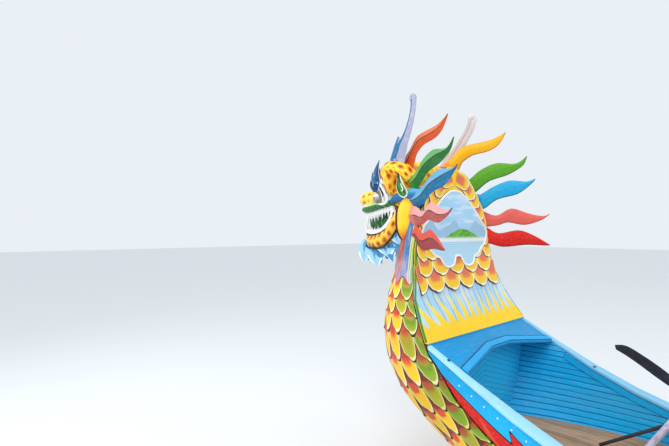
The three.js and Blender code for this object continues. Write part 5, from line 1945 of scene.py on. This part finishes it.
class BuildStern(bpy.types.Operator):
    """Models the tail, the transom boards, the engine box, the tiller and the rudder's blade"""
    bl_idname = "boat.stern"
    bl_label = "Stern and tail"

    tail_back = [
        (-6.5, 0, 0.35), (-6.7, 0, 0.56), (-6.88, 0, 0.86), (-6.965, 0, 1.2), (-6.975, 0, 1.56),
        (-6.93, 0, 1.86), (-6.985, 0, 2.135),
    ]
    tail_front = [
        (-6.502, 0, 0.8), (-6.51, 0, 0.98), (-6.58, 0, 1.22), (-6.625, 0, 1.48), (-6.65, 0, 1.74),
        (-6.76, 0, 1.93), (-6.98, 0, 2.14),
    ]
    tail_flames = (
        ((-6.63, 0, 1.56), (-6.56, 0, 1.89), 0.07, "green"),
        ((-6.9, 0, 1.25), (-7.02, 0, 1.62), 0.06, "salmon"),
        ((-6.86, 0, 0.95), (-7.01, 0, 1.25), 0.06, "orange"),
        ((-6.56, 0, 1.18), (-6.52, 0, 1.48), 0.055, "sky_blue"),
    )
    transom_board = 0.12

    def execute(self, context):
        single("tail_stem", self.tail_stem, self.tail_paint(), slot="yellow_paint", replaces=("dragon_tail",),
               smooth=35)
        for number, (root, tip, width, colour) in enumerate(self.tail_flames, 1):
            # The lower face and the root take a copy darkened to 0.55 as painted shade
            shade, dark = hue(colour), hue(colour, 0.55)
            single(f"tail_flame_{number}", lambda bm: self.tail_flame(bm, Vector(root), Vector(tip), width),
                   flame_paint(f"tail_flame_paint_{number}", shade, dark, shade, dark), slot="yellow_paint",
                   smooth=35)
        boards("transom_boards", "transom", 2, self.transom_board,
               plain_paint("transom_paint", hue("deep_blue"), chips=0.3), "deep_blue_paint")
        box_paint = plain_paint("engine_box_paint", hue("sky_blue", 0.9), chips=0.5)
        lid_paint = plain_paint("lid_paint", hue("yellow", 0.9), chips=0.4)
        softened("engine_box_boards", "engine_box", box_paint, "sky_blue_paint", offset=BOARD_ROUND)
        softened("engine_lid_boards", "engine_lid", lid_paint, "yellow_paint", body="lid", offset=BOARD_ROUND)
        wood = wood_paint("dark_timber", screen("5A3A22"), (1, 1, 0.1))
        softened("tiller_bar", "tiller", wood, "dark_wood", body="steering", offset=0.008)
        softened("rudder_blade", "rudder", wood, "dark_wood", body="steering", offset=0.006)
        return {"FINISHED"}

    def tail_stem(self, bm):
        blade(bm, self.tail_back, self.tail_front, ACROSS, 0.055, 0.5, 40, inner=1.0, taper=0.45)

    def tail_flame(self, bm, root, tip, width):
        rise = tip - root
        front = Vector((width, 0, 0)) * (1 if tip.x > root.x else -1)
        lower = [root - front, root + rise * 0.4 - front * 0.5, root + rise * 0.75 + front * 0.2, tip]
        upper = [root + front, root + rise * 0.3 + front * 0.9, root + rise * 0.7 + front * 0.6,
                 tip + Vector((0.003, 0, 0))]
        blade(bm, lower, upper, ACROSS, 0.03, 0.5, 18, inner=1.0)

    def tail_paint(self):
        """Painted scales in rows along the tail, inside a red edge."""
        paint = Paint("tail_paint")
        x, _, z = paint.axes()
        across = paint.mark("across")
        row = z * 9
        shift = paint.math("FLOOR", row) * 0.5
        column = paint.math("FRACT", x * 9 + shift) - 0.5
        rise = paint.math("FRACT", row)
        arc = paint.math("SQRT", column ** 2 * 2.2 + (1 - rise) ** 2)
        core = paint.mix(paint.step(arc, 0.35, 0.6), hue("orange"), hue("yellow"))
        rim = paint.step(arc, 0.82, 0.88) * (1 - paint.step(arc, 0.92, 0.96))
        line = paint.step(arc, 0.93, 0.97)
        scaled = paint.mix(line, paint.mix(rim, core, "FBF2C0"), "4A2210")
        border = paint.step(abs(across - 0.5), 0.4, 0.42)
        return paint.weathered(paint.mix(border, scaled, hue("red")), dirt=0.15)


class BuildFinishes(bpy.types.Operator):
    """Gives the carried-over frame nodes their worn paints and metals"""
    bl_idname = "boat.finishes"
    bl_label = "Paints and metals"

    def execute(self, context):
        scale_shadow_ground = self.scale_shadow_ground_paint()
        tar = plain_paint("bottom_tar", hue("tar"), dirt=0.5, gloss=0.6, depth=0.003)
        bronze = metal_paint("propeller_bronze", "9A7636", 0.3, 0.1)
        steel = metal_paint("shaft_steel", "8A8D90", 0.4, 0.5)
        finishes = {
            "hull_bottom": tar, "neck": scale_shadow_ground, "bow_stem": scale_shadow_ground, "propeller": bronze,
            "propeller_shaft": steel, "shaft_strut": steel,
            "engine": metal_paint("engine_iron_worn", "3E5A48", 0.5, 0.6),
        }
        for part in ("bow", "main", "stern"):
            for side, _ in SIDES:
                finishes[f"hull_side_{part}_{side}"] = scale_shadow_ground
        for node, material in finishes.items():
            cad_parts[node].data.materials[0] = material
        return {"FINISHED"}

    def scale_shadow_ground_paint(self):
        """The dark ground painted as the shadow between the scales, and blue paint on the inner faces."""
        paint = Paint("scale_ground")
        # Dark red-brown as painted shadow between the scales
        tone = paint.mix(paint.patches(0.4, 0.7, 9, 4), "3A120A", "6A1E10")
        _, y, _ = paint.axes()
        normal = paint.node("ShaderNodeNewGeometry").outputs["Normal"]
        facing = paint.node("ShaderNodeSeparateXYZ", Vector=normal)
        ahead, aside = Value(paint, facing.outputs["X"]), Value(paint, facing.outputs["Y"])
        outward = paint.step(aside * y * 2 + ahead * 0.5, -0.02, 0.02)
        return paint.weathered(paint.mix(outward, hue("sky_blue", 0.8), tone), dirt=0.2, gloss=0.5)


class BuildGear(bpy.types.Operator):
    """Lays an oar, a boat pole and a cross pole on the boat, and sets the cap bolts"""
    bl_idname = "boat.gear"
    bl_label = "Oar, poles and cap bolts"

    oar_shaft = [
        (2.88, -0.553, 0.54, 0.018, 0.018), (3.3, -0.71, 0.697, 0.018, 0.018),
        (3.76, -0.882, 0.868, 0.018, 0.018), (3.92, -0.942, 0.925, 0.012, 0.014),
    ]
    blade_low = [
        (3.74, -0.875, 0.848), (3.854, -0.918, 0.853), (3.995, -0.971, 0.909), (4.164, -1.034, 0.993),
        (4.26, -1.07, 1.035), (4.336, -1.099, 1.061),
    ]
    blade_high = [
        (3.74, -0.875, 0.872), (3.85, -0.916, 0.93), (3.974, -0.963, 1.002), (4.106, -1.012, 1.065),
        (4.246, -1.065, 1.116), (4.346, -1.102, 1.101),
    ]
    boat_pole = [
        (4.221, -0.279, 0.527, 0.012, 0.012), (3.97, -0.49, 0.649, 0.013, 0.013),
        (3.72, -0.7, 0.771, 0.015, 0.015), (3.656, -0.755, 0.802, 0.015, 0.015),
    ]
    cross_pole = [
        (3.834, 0.845, 0.799, 0.02, 0.02), (3.82, 0.11, 0.795, 0.021, 0.021),
        (3.801, -0.845, 0.79, 0.022, 0.022),
    ]
    # Cap bolts: place along the boat, side of the boat and distance from the cap's outer edge
    bolts = ((4.85, "port", 0.04), (4.385, "starboard", 0.082))
    bolt_size = (0.013, 0.013, 0.01)
    blade_out = (0.35, 1, -0.2)

    def execute(self, context):
        single("oar", self.oar, wood_paint("oar_wood", screen("2C2A36"), (0.1, 1, 1)), slot="dark_wood")
        single("boat_pole", lambda bm: sweep(bm, self.boat_pole, 20, 14),
               wood_paint("pole_wood", screen("26242A"), (0.2, 0.2, 1)), slot="dark_wood")
        single("cross_pole", lambda bm: sweep(bm, self.cross_pole, 24, 16),
               wood_paint("cross_pole_wood", screen("B0A6BA"), (1, 0.1, 1)), slot="bare_wood")
        single("cap_bolts", self.cap_bolts, metal_paint("bolt_metal", "3C5A70"), slot="steel")
        return {"FINISHED"}

    def oar(self, bm):
        sweep(bm, self.oar_shaft, 24, 12)
        blade(bm, self.blade_low, self.blade_high, self.blade_out, 0.012, 0.5, 24, inner=1.0)

    def cap_bolts(self, bm):
        for x, side, inset in self.bolts:
            y = dict(SIDES)[side] * (read_rows(SHEER, x, 1) - inset)
            top, _ = hit(tree_of(f"gunwale_cap_{side}"), (x, y, 3), (0, 0, -1))
            blob(bm, top, self.bolt_size, u=14, v=8)


class BuildStage(bpy.types.Operator):
    """Sets the floor at the waterline, the soft lights and the camera"""
    bl_idname = "boat.stage"
    bl_label = "Floor, lights and camera"

    # Lights by name: place and power, all of one size and aimed at one place
    lights = {"key": ((2.0, 6.0, 9.0), 400), "fill": ((9.0, 4.0, 6.0), 150), "rim": ((-8.0, -7.0, 8.0), 300)}
    light_size = 7.0
    light_aim = (2.0, 0, 1.2)
    floor_size = 60
    # The camera stands where the photograph was taken and looks level
    eye = (3.125, 3.38, 2.095)
    aim = (0.736, -0.677, 0.0)
    photo_width = 669
    horizon_drop = 9

    def execute(self, context):
        self.floor()
        for name, (place, power) in self.lights.items():
            self.light(name, place, power)
        world = bpy.data.worlds.new("studio_air")
        world.use_nodes = True
        air = world.node_tree.nodes["Background"].inputs
        air["Color"].default_value = screen("EAF0F6")
        air["Strength"].default_value = 1.0
        context.scene.world = world
        context.scene.view_settings.view_transform = "Standard"
        data = bpy.data.cameras.new("photo_camera")
        data.lens = 24
        data.sensor_width = 36
        data.shift_y = self.horizon_drop / self.photo_width
        camera = bpy.data.objects.new("photo_camera", data)
        camera.location = self.eye
        camera.rotation_euler = Vector(self.aim).to_track_quat("-Z", "Y").to_euler()
        context.scene.collection.objects.link(camera)
        context.scene.camera = camera
        return {"FINISHED"}

    def floor(self):
        paint = Paint("studio_floor")
        paint.coat(Base_Color="E9EBEC", Roughness=0.7)
        bm = bmesh.new()
        bmesh.ops.create_grid(bm, x_segments=2, y_segments=2, size=self.floor_size)
        mesh = bpy.data.meshes.new("studio_floor")
        bm.to_mesh(mesh)
        bm.free()
        mesh.materials.append(paint.material)
        floor = bpy.data.objects.new("studio_floor", mesh)
        bpy.context.scene.collection.objects.link(floor)

    def light(self, name, place, power):
        data = bpy.data.lights.new(name, "AREA")
        data.shape = "DISK"
        data.size = self.light_size
        data.energy = power
        light = bpy.data.objects.new(name, data)
        light.location = place
        light.rotation_euler = (Vector(self.light_aim) - Vector(place)).to_track_quat("-Z", "Y").to_euler()
        bpy.context.scene.collection.objects.link(light)


BUILDERS = (
    BuildScales, BuildThroat, BuildBands, BuildPanel, BuildMane, BuildSkull, BuildMouth, BuildFace,
    BuildHorns, BuildBeard, BuildDeck, BuildCabin, BuildRoof, BuildStern, BuildFinishes, BuildGear,
    BuildStage,
)


class DragonBoatPanel(bpy.types.Panel):
    """Lists the sizes, the colours and the builders of the boat"""
    bl_idname = "VIEW3D_PT_dragon_boat"
    bl_label = "Dragon boat"
    bl_space_type = "VIEW_3D"
    bl_region_type = "UI"
    bl_category = "Dragon boat"

    def draw(self, context):
        for settings in (context.scene.boat_sizes, context.scene.boat_colours):
            box = self.layout.box()
            for name in settings.bl_rna.properties.keys():
                if name not in ("rna_type", "name"):
                    box.prop(settings, name)
        for builder in BUILDERS:
            self.layout.operator(builder.bl_idname)


CLASSES = (BoatSizes, BoatColours, *BUILDERS, DragonBoatPanel)


def register():
    for cls in CLASSES:
        bpy.utils.register_class(cls)
    bpy.types.Scene.boat_sizes = bpy.props.PointerProperty(type=BoatSizes)
    bpy.types.Scene.boat_colours = bpy.props.PointerProperty(type=BoatColours)


def unregister():
    del bpy.types.Scene.boat_sizes
    del bpy.types.Scene.boat_colours
    for cls in reversed(CLASSES):
        bpy.utils.unregister_class(cls)


def main():
    register()
    for builder in BUILDERS:
        group, name = builder.bl_idname.split(".")
        getattr(getattr(bpy.ops, group), name)()


if __name__ == "__main__":
    main()
